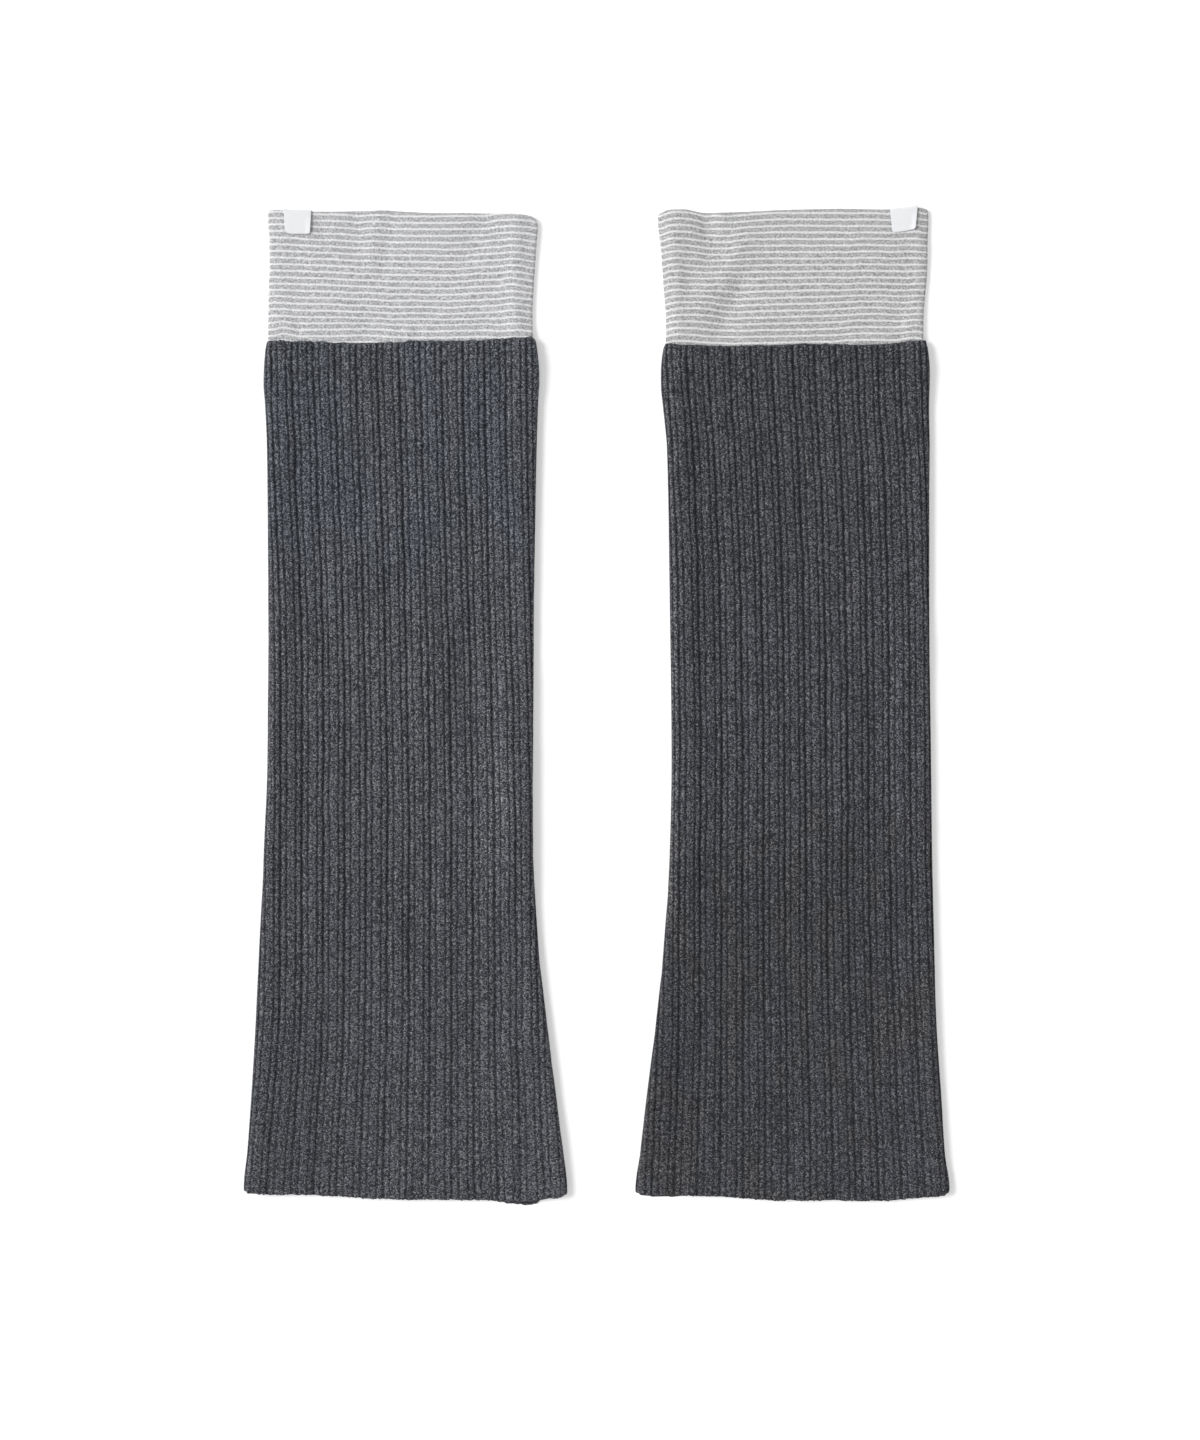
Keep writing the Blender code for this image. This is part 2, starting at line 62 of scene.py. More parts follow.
# Cloth thicknesses, as in the solids, and how the cloth bends at the sides and ends.
RIB_WALL = 2.4
RIB_UNDER_WALL = 1.6
RIB_SIDE_WALL = 2.3
CUFF_WALL = 1.3
SEAM_GAP = 0.3
TUBE_FOLD = 5.0
CUFF_FOLD = 1.4
CUFF_SWELL = -0.4  # the cuff thins towards its side folds
SWELL_REACH = 14.0
SEAM_BLEND = 60.0  # how far from the seam and the hem their lines bend the tube
HEM_BLEND = 130.0
SETTLED = 0.25  # how far the crests lie under the solid's top
LIFT_FROM = 0.1  # folds lift the cloth where its normal's height passes this
LIFT_BLEND = 0.6
INSIDE_FOLDS = 0.8  # the share of the tube's folds that its inside follows
INSIDE_PAINTED_SHADE = -0.3  # painted shade in the tube's hollow, with its reverse stitches' own darker tone
PAINTED_LIGHT_FROM = 1.0  # the painted light and shade of the folds fades out below these heights
PAINTED_LIGHT_BLEND = 3.0

# The ribs. A repeat is seven stitch columns (wales): a deep purl groove, a knit, a shallow purl, two knits,
# a shallow purl and a knit.
RIB_REPEATS = 27
WALES = 7
TOP_REPEATS = 8  # repeats to each side of the middle groove that come round to the top
TOP_POINTS = 28  # points across a repeat there, and on the underside
UNDER_POINTS = 12
UNDER_RELIEF = 0.65  # the grooves' share of their depth where the cloth is pressed flat
FULL_TURN = 0.9  # they are whole once the normal has risen this far from straight down
COURSE = 1.42  # height of a stitch
NARROW_DEPTH = 0.15  # how far the narrow ribs lie under the wide ones, and where across a repeat
NARROW_EDGE = 0.2
NARROW_BLEND = 0.16
Groove = namedtuple("Groove", "place depth width seed")
GROOVES = (
    Groove(0.0, 1.05, 0.82, 21),
    Groove(2 / 7, 0.64, 0.58, 22),
    Groove(5 / 7, 0.64, 0.58, 23),
)
GROOVE_SHAPE = 1.5  # between a pointed and a round valley
HEM_FLATTER = 0.25  # the grooves' loss of depth towards the hem, and where
HEM_FLATTER_FROM = 200.0
HEM_FLATTER_BLEND = 150.0
SEAM_HOLD = 12.0  # the seam keeps the grooves from wandering, down to here
HELD_SHARE = 0.4

# Smooth noise that makes the cloth uneven: its height, seed and size across and along the cloth. Across is in
# repeats for the first three groups.
Wave = namedtuple("Wave", "height seed across along")
GROOVE_UNEVEN = (Wave(0.26, 0, 1 / 7.3, 17), Wave(0.14, 5, 1 / 5.1, 5.5))
GROOVE_WANDER = (Wave(0.3, 1, 1 / 1.7, 15), Wave(0.28, 2, 1 / 3.1, 7), Wave(0.3, 3, 1 / 0.6, 45))
RAGGED_END = (Wave(0.3, 6, 1 / 2.3, 60), Wave(0.35, 7, 1 / 9, 60))
TUBE_WAVES = (Wave(0.3, 4, 23, 38), Wave(0.16, 5, 9, 15))
SEAM_PUCKERS = (Wave(0.34, 31, 5.5, 30),)
CUFF_TOP_WAVES = (Wave(0.12, 32, 8, 20),)
CUFF_WAVES = (Wave(0.16, 33, 17, 13),)
STRIPE_WANDER = (Wave(0.12, 34, 8, 7), Wave(0.16, 35, 3.3, 3))

# Where the cuff's raw end lies inside, the tube has a ridge and a trough, at these distances from the seam.
Ridge = namedtuple("Ridge", "down half_width height")
SEAM_RIDGES = (Ridge(15.0, 3.2, 0.4), Ridge(21.0, 4.0, -0.25))

# The tube's rings: steps from each end, and between the rest. The ends are rounded over.
HEAD_STEPS = (0.0, 0.12, 0.4, 0.85, 1.45, 2.2, 3.1, 4.3, 5.8, 7.8)
TAIL_STEPS = (0.0, 0.1, 0.3, 0.6, 1.0, 1.6, 2.6, 4.2)
RING_STEP = 3.7
INSIDE_RINGS = 26
Rounding = namedtuple("Rounding", "reach depth scallop")
SEAM_ROUND = Rounding(2.6, 1.9, 0.9)
HEM_ROUND = Rounding(1.4, 1.2, 0.6)
HEM_OUT = 0.25  # how far the hem stands past the solid
SEAM_LOWER = 0.45  # and how far below the solid's the ribs' top edge lies
LOOP_HEIGHT = 0.45  # the stitches' loops along both ends
LOOP_MIDDLE = 0.2
END_REACH = 2.5
SIDE_ROUND = 0.15  # the share of the rounding at the side folds
TUBE_OUTLINE = (240, 48, 120)  # points of the smooth outline that ribs are laid on: top, side, underside
STAND_OUT = (0.6, 0.8)  # how far that outline stands outside the solid on the left and right
TUBE_INSIDE = (26, 7, 22)

# The cuff's mesh, the rounded fold along its top, and how near to the seam its folds, waves and puckers end.
CUFF_SURFACE = (180, 9, 81)
CUFF_STEP = 0.95
CUFF_INSIDE_STEP = 4.0
CUFF_LAST = 1.0  # its last even row lies this far above the seam
CUFF_EDGE_ANGLES = (84.0, 68.0, 52.0, 36.0, 22.0, 10.0)
TUCK_PLACES = (-0.1, 0.3, 0.8, 1.6, 3.0, 6.0, 11.0, 16.0)
UNDER_BEND = 0.5  # the share of the stripes' bends on its underside
FOLDS_FADE = 8.0
WAVES_FADE = 4.0
PUCKERS_PLACE = 3.0  # the puckers are highest here, and end at the seam
PUCKERS_REACH = 9.0
CUFF_TOP = 3.0  # the waves along its top edge lie about here
CUFF_TOP_REACH = 6.0

# The label.
LABEL_WIDTH = 16.8
LABEL_DROP = 13.6
LABEL_THICK = 0.55
LABEL_LIFT = 0.45  # its underside over the cuff
LABEL_CURL = 0.35  # more at its free side edge, from this share of the half width, and on its top rows
LABEL_CURL_FROM = 0.55
LABEL_CURL_ROWS = 8.0
LABEL_CORNER = 1.7
LABEL_ENTRY = 2.0
LABEL_COLUMNS = 44
LABEL_ROWS = 26
LABEL_ARC = 14
LABEL_EDGE = 0.35  # how far in the rounding of its edge reaches
LABEL_THIN = 0.25  # the share of its thickness left at the edge
LABEL_SHADOW_COLUMNS = 2  # the last columns carry a painted shadow line along its curled side edge

# The ribs' looks change down the leg between these stitch rows, counted from the cuff's top.
TEAL_ROWS = (130.0, 185.0)  # the teal tint gives way to slate
WARM_ROWS = (215.0, 285.0)  # warm patches set in
LOW_ROWS = (240.0, 302.0)  # darker from here
HEM_ROWS = (382.0, 418.0)  # and at the hem
GROOVE_ROWS = (280.0, 390.0)  # the painted shade in the grooves weakens
GROOVE_PAINTED_SHADE = -1.92  # painted shade in the grooves, as a power of two
GROOVE_PAINTED_SHADE_LOW = 0.72  # its share at the hem
CHARCOAL = 0.067
SLATE = (0.0723, 0.0746, 0.0858, 1.0)
WARM_GREY = (0.0745, 0.0726, 0.0742, 1.0)
SHEEN_ROUGHNESS = 0.6
SPECULAR = 0.25
JERSEY_GREY = 0.42
JERSEY_WHITE = 0.73
JERSEY_WALES = 364.0  # stitch columns round the cuff
STRIPE_COURSES = 6.0  # stitch rows to a stripe and the grey below it
TAPE_WHITE = (0.735, 0.745, 0.76)
TAPE_PAINTED_SHADOW = (0.05, 0.05, 0.06, 1.0)
TAPE_WARP = 0.42  # the tape's weave repeats after these lengths
TAPE_WEFT = 0.34

# The stage, in metres: a floor just under the cloth, an even main light from low on the left and a soft fill.
FLOOR_HALF = 60.0
FLOOR_Z = -0.0001
FLOOR_COLOUR = (0.92, 0.92, 0.92, 1.0)
FLOOR_ROUGHNESS = 0.9
FLOOR_GLOW = 0.2
WHITE = (1.0, 1.0, 1.0, 1.0)
WORLD_STRENGTH = 0.42
KEY_PLACE = (-1.3, 0.26, 0.95)
KEY_SPREAD = 0.66  # the sun's angle, which softens the shadows
KEY_STRENGTH = 3.5
FILL_PLACE = (1.3, -0.3, 1.5)
FILL_SIZE = 1.0
FILL_POWER = 7.0
CAMERA_PLACE = (2.42 * MM, -8.71 * MM, 2.429)
LENS = 100.0  # these two in millimetres, as Blender takes them
SENSOR = 36.0
CLIP = (0.1, 150.0)

# A ring's edges, the gap inside it, its extra height at the sides, the place of its middle groove and the
# width of a repeat; and for the cuff how high its underside lies.
TubeRing = namedtuple("TubeRing", "down left right hollow swell groove pitch")
CuffRing = namedtuple("CuffRing", "down left right lift hollow")
# How far up an end's line is moved on the upper and the lower layer.
Edge = namedtuple("Edge", "x upper lower")
# A soft ridge, or a trough where its height is negative, along a line from a to b.
Fold = namedtuple("Fold", "x_a down_a x_b down_b half_width height")
# How far the stripes lie below their straight lines, at five places down the cuff.
Bend = namedtuple("Bend", "x top high middle low seam")
Stripes = namedtuple("Stripes", "first pitch places bends")
Label = namedtuple("Label", "x taper slant")
# How bright the ribs and the jersey are, how far they lean to teal and the ribs to warm, how bright the ribs
# are low down and at the hem, how white the stripes are, and how strong the ribs' flecks and the painted
# shade in their grooves.
Dye = namedtuple("Dye", "rib jersey teal warm low hem stripe crisp")
Leg = namedtuple("Leg", (
    "side seed axis_x top_y seam tube tube_folds tones hem seam_line cuff cuff_top folds stripes label dye"
))


def rows(kind, *values):
    """A table's named rows."""
    return [kind(*row) for row in values]


LEFT = Leg(
    side="left",
    seed=100,
    axis_x=-118.8,
    top_y=298.7,
    seam=78.2,
    tube=rows(
        TubeRing,
        (78.2, -79.7, 79.8, 3.7, 0.6, -0.6, 12.9),
        (79.6, -80.3, 81.3, 3.7, 0.6, -0.6, 12.9),
        (83.2, -81, 82.2, 3.7, 0.6, -0.6, 12.9),
        (96, -82, 83.8, 3.6, 0.7, -0.4, 12.9),
        (104, -82.2, 83.9, 2.7, 1, -0.2, 12.9),
        (116, -81.3, 83, 1.6, 1.4, 0, 12.9),
        (145, -80.1, 82, 0.9, 2, 0.7, 12.85),
        (230, -79.5, 80.7, 0.7, 2.1, 3.4, 12.7),
        (335, -80.1, 80.2, 0.7, 2.1, 5.2, 12.85),
        (384, -82.3, 80.4, 0.7, 2.1, 5.5, 12.95),
        (440, -84.8, 83, 0.7, 2.1, 5.5, 13),
        (490, -87.2, 88.2, 0.8, 2.1, 5.4, 13.1),
        (540, -90, 94.6, 0.9, 2, 4.6, 13.5),
        (572, -92.2, 98.6, 1, 2.1, 3.9, 13.8),
        (596.5, -94.4, 100.8, 1.1, 2, 3.6, 14),
        (597.5, -94, 100.4, 1.1, 2, 3.6, 14),
    ),
    tube_folds=rows(
        Fold,
        (40, 140, -30, 212, 8, 0.8), (54, 138, -23, 256, 7, -0.7), (22, 262, 20, 320, 9, 0.6),
        (41, 255, 38, 345, 9, -0.8), (66, 285, 66, 395, 14, 2.3), (-80.5, 92, -79.5, 340, 5, -0.7),
    ),
    # Painted light and shade of the folds: lit flanks lighter, shaded flanks darker, drawn on the ribs'
    # colour.
    tones=rows(
        Fold,
        (30, 232, 32, 318, 8, -0.15), (56, 340, 54, 408, 13, 0.28), (-42, 322, -38, 372, 13, -0.13),
        (-52, 88, -48, 104, 9, 0.16), (0, 160, 2, 176, 8, 0.12), (-28, 192, -28, 212, 7, 0.12),
        (-58, 500, -60, 575, 16, -0.14), (76, 212, 76, 250, 6, -0.15),
    ),
    hem=rows(
        Edge,
        (-94.5, 5.2, 5.2), (-91, 3.8, 4.4), (-80, 3.1, 3.6), (-44, 2.2, 2.8), (-18, 0.5, 1.4),
        (8, -0.3, 0.3), (50, -0.3, 0), (62, 0, -1.9), (76, 0, -3.6), (83, 0.3, -2.6),
        (86, 0.6, 0.9), (97, 1.7, 2), (101.2, 3.2, 3.2),
    ),
    seam_line=rows(
        Edge,
        (-80, 1, 0.9), (-64, 0.8, 0.5), (-51, 0.5, 0.2), (-39, -0.2, 0), (-27, -0.5, 0.1),
        (-15, -0.2, 0.2), (-3, 0.2, 0.3), (9, 0.9, 0.4), (33, 1, 0.8), (46, 1, 1),
        (58, 1.8, 1.4), (70, 2.7, 2.2), (80, 3, 2.6),
    ),
    cuff=rows(
        CuffRing,
        (0.65, -80.2, 80.6, 0, 1.5),
        (2.6, -80.4, 83, 0, 1.5),
        (6, -80.3, 83.6, 0, 1.5),
        (19, -79.7, 82.7, 0, 1.4),
        (34, -79.4, 81.7, 0, 1),
        (43, -79.8, 81.2, 0, 0.9),
        (50, -80, 80.8, 0, 0.9),
        (65, -80.3, 80.3, 0, 1.1),
        (77.2, -80.4, 80.5, 1, 0.9),
    ),
    cuff_top=rows(
        Edge,
        (-80, 1.9, 1.9), (-74, 2.3, 2.3), (-65, 1.1, 0.8), (-22, 1.2, 1.9), (-10, 1.9, 2.3),
        (2, 0.4, 1.5), (22, -0.2, 0.6), (35, 0.4, 0.6), (50, 0.1, 0.3), (62, 0.1, 0.1),
        (71, 0, 0), (80.5, -1.8, -1.8),
    ),
    folds=rows(
        Fold,
        (70.5, 8, 70, 72, 6.5, 1.25), (84.2, 3, 80.8, 76, 4.5, -0.6), (-80.6, 3, -80.8, 62, 4.5, -0.85),
        (52, 0, 41, 24, 7.5, -0.8), (-3, 4, -11, 36, 4.5, -0.45), (-13, 2, -17, 26, 5, 0.4),
        (-46, 0, -47, 16, 4, -0.4), (-27, 0, -27, 24, 4.5, -0.35), (-62, 20, -61, 56, 6, -0.4),
        (-76, 71, -67, 72.5, 3.2, 0.8), (-62, 66, -59, 78, 3.5, -0.5),
    ),
    stripes=Stripes(1.6, 3.9, (9, 25, 45, 60, 70), rows(
        Bend,
        (-80, -2.7, -2.4, -2, -1.9, -1.4), (-76, -2.8, -2.4, -2.1, -2.2, -1.6),
        (-71, -2.6, -2.3, -1.9, -2.1, -2.9), (-66, -2.4, -2.1, -1.7, -1.6, -1.8),
        (-60, -1.7, -1.8, -1.4, -1.3, -1.1), (-53, -1.2, -1.4, -1.3, -1.1, -1.2),
        (-39, -0.9, -0.9, -0.9, -1, -1.3), (-31, -0.4, -0.4, -0.4, -0.5, -1.6),
        (-24, 0.1, -0.1, -0.1, -0.4, -1.7), (-17, -0.5, -0.1, 0, -0.1, -1.5),
        (-10, -0.4, 0.2, 0.3, 0.2, -1.1), (-3, 0.1, 0.3, 0.6, 0.6, -0.7),
        (5, 0.2, 0.4, 0.7, 0.4, -0.4), (19, 0.3, 0.7, 1, 0.5, -0.2),
        (27, 0.2, 0.9, 1, 0.9, -0.3), (34, 0.1, 0.9, 0.7, 0.8, -0.6),
        (41, -0.1, 0.4, 0.3, 0.3, -0.6), (50, 0, -0.3, -0.1, 0.1, -1),
        (60, -1.4, -0.5, -0.5, -0.4, -0.3), (67.5, -1.6, -1.3, -1.4, -1.2, -0.9),
        (72, -1.3, -1.3, -0.8, -1, -0.9), (78, -1.1, -0.1, -0.1, -0.4, -0.5),
        (82, -0.4, 0.3, 0.4, 0.2, 0.1),
    )),
    label=Label(-62.1, 0.09, 0),
    dye=Dye(0.968, 1.01, 1, 0, 0.9, 0.907, 0.91, 1.04),
)

RIGHT = Leg(
    side="right",
    seed=200,
    axis_x=123.6,
    top_y=300.3,
    seam=80.9,
    tube=rows(
        TubeRing,
        (80.9, -81.1, 75.6, 3.7, 0.6, -4.2, 12.85),
        (82.3, -81.9, 76, 3.7, 0.6, -4.2, 12.85),
        (85.9, -82.7, 76.9, 3.7, 0.6, -4.1, 12.85),
        (99, -83.7, 78, 3.6, 0.7, -3.6, 12.85),
        (107, -83.6, 77.9, 2.7, 1, -3.2, 12.85),
        (119, -82.4, 77.6, 1.6, 1.4, -2.6, 12.8),
        (145, -80, 78, 0.9, 2, -0.8, 12.8),
        (230, -78.4, 77.9, 0.7, 2.1, 2.3, 12.7),
        (335, -77.2, 79, 0.7, 2.1, 3.6, 12.7),
        (388, -78.3, 79.6, 0.7, 2.1, 3.7, 12.75),
        (440, -81.7, 80.8, 0.7, 2.1, 4.2, 12.9),
        (490, -86.6, 82.2, 0.8, 2.1, 5, 13.05),
        (542, -92.7, 85.4, 0.9, 2, 6, 13.4),
        (575, -96.5, 87.4, 1, 2.1, 6.5, 13.65),
        (598.8, -99.3, 90.2, 1.1, 2, 6.7, 13.8),
        (599.8, -98.9, 89.8, 1.1, 2, 6.7, 13.8),
    ),
    tube_folds=rows(
        Fold,
        (-59, 100, -61, 175, 7, -0.8), (30, 268, 27, 385, 9, 0.6), (50, 262, 48, 368, 10, -0.8),
        (68, 262, 68, 375, 10, 0.7), (36, 385, 34, 415, 8, -0.7), (-66, 376, -66, 420, 7, 0.6),
        (-52, 376, -54, 412, 7, -0.8), (-58, 492, -58, 515, 6, -0.6), (-20, 430, -48, 540, 10, -0.35),
        (-99, 580, -98, 600, 4, -1.2), (-96.4, 578, -93.6, 592, 1.3, -0.7),
        (-80.5, 96, -78.5, 350, 5.5, -0.9),
    ),
    # Painted light and shade of the folds: lit flanks lighter, shaded flanks darker, drawn on the ribs'
    # colour.
    tones=rows(
        Fold,
        (-44, 124, -46, 140, 11, 0.13), (34, 125, 36, 175, 13, -0.1), (4, 250, 4, 285, 8, -0.16),
        (-52, 320, -52, 338, 9, -0.15), (34, 340, 34, 392, 11, -0.12), (-52, 394, -52, 426, 11, -0.14),
        (20, 410, 20, 428, 12, -0.12), (-79, 90, -77.5, 240, 5, 0.22), (-78, 240, -78.5, 425, 5, 0.42),
        (40, 262, 42, 306, 8, -0.13),
    ),
    hem=rows(
        Edge,
        (-99.5, 5, 4.6), (-96.9, 4.2, 3.5), (-92, 3.9, 2.8), (-82, 3.8, 2), (-70, 3.5, 2.7),
        (-58, 2.9, 2.7), (-35, 1.5, 1.6), (-10, 0.1, 0.5), (15, 0.1, 0.5), (45, -0.4, 0.2),
        (70, 1.9, 2.2), (79, 2.8, 3), (88, 3.5, 3.5), (90.8, 5.2, 5.2),
    ),
    seam_line=rows(
        Edge,
        (-80, 0.5, 0.4), (-72, -0.3, 0), (-58, -0.8, -0.1), (-45, -1.3, -0.2), (-33, -1, -0.1),
        (-9, -0.4, 0), (3, 0.2, 0), (15, 0.1, 0.1), (39, -0.4, 0.3), (52, 0.1, 0.6),
        (64, 1.3, 1.2), (76, 2.2, 2),
    ),
    cuff=rows(
        CuffRing,
        (0.65, -85.9, 77.6, 0, 1.5),
        (2.6, -86.2, 78.1, 0, 1.5),
        (7, -86, 78.1, 0, 1.5),
        (19, -84.6, 77.7, 0, 1.4),
        (35, -83.4, 77.5, 0, 1),
        (52, -82.3, 76.3, 0, 0.9),
        (66, -81.3, 75.2, 0, 1.1),
        (79.9, -81.4, 75, 1, 0.9),
    ),
    cuff_top=rows(
        Edge,
        (-86, -2.1, -2.1), (-79, 0.7, 0.7), (-70, 0.9, 0.9), (-58, -1.3, -1), (-42, -0.9, -0.6),
        (0, 0.8, 0.8), (27, 1.2, 1.2), (50, 0.8, 0.8), (64, 1.2, 1.2), (72, 2, 2),
        (78, 0.6, 0.6),
    ),
    folds=rows(
        Fold,
        (-86.4, 2, -81.6, 78, 5, -1.4), (-76, 0, -74, 78, 5.5, 0.8), (-56.5, 0, -56.5, 11, 6.5, -1.1),
        (-52.5, 13, -54, 28, 9.5, -1.1), (-48.5, 0, -48.5, 10, 4, 0.4), (-66, 32, -67, 44, 5, -0.4),
        (-33, 16, -45, 42, 5.5, 0.55), (-52, 46, -72, 76, 9, 1.1), (-36, 46, -52, 78, 6.5, -1),
        (72.5, 14, 72, 74, 3.5, 0.5), (78.6, 0, 78.2, 18, 4, -0.9), (77.5, 30, 75.4, 78, 4, -0.3),
        (59.5, 62, 60, 78, 4.5, -0.6), (60, 72, 71, 70, 3, 0.7),
    ),
    stripes=Stripes(1.85, 3.875, (6, 21, 41, 60, 77), rows(
        Bend,
        (-85, 1.4, 1.4, 1.5, 1.6, 1.4), (-82, 0.4, 0.6, 1, 1.2, 1),
        (-79, -0.6, -0.2, 0, 0.3, 0.1), (-75, -1.1, -0.6, -0.3, -0.4, -0.4),
        (-68, -0.8, -0.1, 0.2, -0.7, -0.3), (-61, 0.5, 0.6, 0.5, -0.9, 0.3),
        (-57, 1.5, 1.1, 0.7, -0.6, 0.6), (-50, 1.2, 1.7, 0.4, 0.4, 0.9),
        (-43, 1.4, 1.6, 0.3, 1.4, 1.1), (-38, 1.1, 0.8, 0.7, 1.6, 1.2),
        (-29, 0.4, 0, 0.6, 1.1, 1), (-18, -0.3, -0.1, 0.3, 0.8, 0.8),
        (-7, -0.5, -0.2, 0.2, 0.5, 0.5), (10, -0.5, 0, -0.2, 0.2, 0.2),
        (22, -0.4, -0.1, -0.2, -0.4, -0.1), (29, -0.2, 0, -0.1, -0.7, -0.8),
        (38, -0.4, -0.5, -0.4, -1.3, -1.2), (47, -0.3, -0.3, -0.3, -1.3, -1),
        (58, 0.1, -0.1, 0.1, -0.8, -0.9), (65, -0.3, -0.5, 0.2, -0.7, -2),
        (70, -1.1, -0.3, -0.2, -1.1, -2.4), (75, -0.3, 0.1, -0.4, -1.1, -1.6),
    )),
    label=Label(63.1, 0.16, 0.068),
    dye=Dye(0.730, 0.90, 0.5, 0.6, 0.79, 0.867, 0.99, 1.16),
)


def ease(t):
    """0 below 0, 1 above 1, and a soft curve between."""
    t = np.clip(t, 0.0, 1.0)
    return t * t * (3.0 - 2.0 * t)


def columns(*values):
    """Points from their coordinates."""
    return np.column_stack(values)


def hump(distance, half_width):
    """1 at no distance, and softly down to 0 far away."""
    return np.exp(-((distance / half_width) ** 2))


def curve(xs, ys, at):
    """A smooth curve through points that never overshoots them, read at any places."""
    xs, ys = np.asarray(xs, float), np.asarray(ys, float)
    step = np.diff(xs)
    slope = np.diff(ys) / step
    tangent = np.concatenate([slope[:1], np.zeros(len(slope) - 1), slope[-1:]])
    for k in range(1, len(slope)):
        if slope[k - 1] * slope[k] > 0:
            near, far = 2 * step[k] + step[k - 1], step[k] + 2 * step[k - 1]
            tangent[k] = (near + far) / (near / slope[k - 1] + far / slope[k])
    at = np.clip(at, xs[0], xs[-1])
    i = np.clip(np.searchsorted(xs, at) - 1, 0, len(step) - 1)
    t = (at - xs[i]) / step[i]
    start = (1 + 2 * t) * (1 - t) ** 2 * ys[i] + t * (1 - t) ** 2 * step[i] * tangent[i]
    return start + t * t * (3 - 2 * t) * ys[i + 1] + t * t * (t - 1) * step[i] * tangent[i + 1]


def column(table, name, at):
    """A table's column at any values of its first column."""
    return curve([row[0] for row in table], [getattr(row, name) for row in table], at)


def ring_at(kind, rings, down):
    """The ring at any place down the leg, read between a table's own."""
    return kind(down, *(float(column(rings, name, down)) for name in kind._fields[1:]))


def cloud(seed, across, along):
    """Smooth noise from -1 to 1 over a grid of unit squares, the same for the same seed."""
    size = 64
    table = np.random.default_rng(seed).uniform(-1.0, 1.0, (size, size))
    across, along = np.broadcast_arrays(np.asarray(across, float), np.asarray(along, float))
    i, j = np.floor(across).astype(int), np.floor(along).astype(int)
    s, t = ease(across - i), ease(along - j)
    near = table[i % size, j % size] * (1 - s) + table[(i + 1) % size, j % size] * s
    far = table[i % size, (j + 1) % size] * (1 - s) + table[(i + 1) % size, (j + 1) % size] * s
    return near * (1 - t) + far * t


def wave_sum(waves, seed, across, along):
    """Height of a group of waves of smooth noise at places on the cloth."""
    return sum(w.height * cloud(seed + w.seed, across / w.across, along / w.along) for w in waves)


def fold_sum(folds, x, down):
    """Height of soft troughs and ridges at places on the cloth."""
    height = np.zeros(np.broadcast(x, down).shape)
    for fold in folds:
        run_x, run_down = fold.x_b - fold.x_a, fold.down_b - fold.down_a
        along = ((x - fold.x_a) * run_x + (down - fold.down_a) * run_down) / (run_x ** 2 + run_down ** 2)
        along = np.clip(along, 0.0, 1.0)
        off = np.hypot(x - fold.x_a - along * run_x, down - fold.down_a - along * run_down)
        height += fold.height * hump(off, fold.half_width)
    return height


def swell(x, left, right, fold, height):
    """Extra height near the side folds, where the springy cloth holds its two layers apart."""
    inside = np.maximum(np.minimum(x - left, right - x) - fold, 0.0)
    return height * hump(inside, SWELL_REACH)


def flat_tube(left, right, low, high, fold, swelling, counts):
    """(x, z) points round a flattened tube, from the left end of its top, over the top to the right."""
    across, around, under = counts
    middle, half = (high + swelling + low) / 2, (high + swelling - low) / 2
    top_x = np.linspace(left + fold, right - fold, across)
    top = columns(top_x, high + swell(top_x, left, right, fold, swelling))
    angle = math.pi * (0.5 - np.arange(1, around + 1) / (around + 1))
    side_x, side_z = fold * np.cos(angle), half * np.sin(angle)
    right_side = columns(right - fold + side_x, middle + side_z)
    bottom = columns(np.linspace(right - fold, left + fold, under), np.full(under, low))
    left_side = columns(left + fold - side_x, middle - side_z)
    return np.vstack([top, right_side, bottom, left_side])


class Outline:
    """A closed (x, z) outline that can be read by the distance walked along it."""

    def __init__(self, points):
        self.points = np.vstack([points, points[:1]])
        step = np.diff(self.points, axis=0)
        length = np.hypot(step[:, 0], step[:, 1])
        self.reached = np.concatenate([[0.0], np.cumsum(length)])
        self.length = self.reached[-1]
        facing = columns(-step[:, 1], step[:, 0]) / length[:, None]
        facing = facing + np.roll(facing, 1, axis=0)
        self.facing = np.vstack([facing, facing[:1]])

    def at(self, distance):
        """Points at distances, and the outward normals there."""
        distance = np.mod(distance, self.length)
        values = (*self.points.T, *self.facing.T)
        x, z, nx, nz = (np.interp(distance, self.reached, value) for value in values)
        size = np.hypot(nx, nz)
        return x, z, nx / size, nz / size


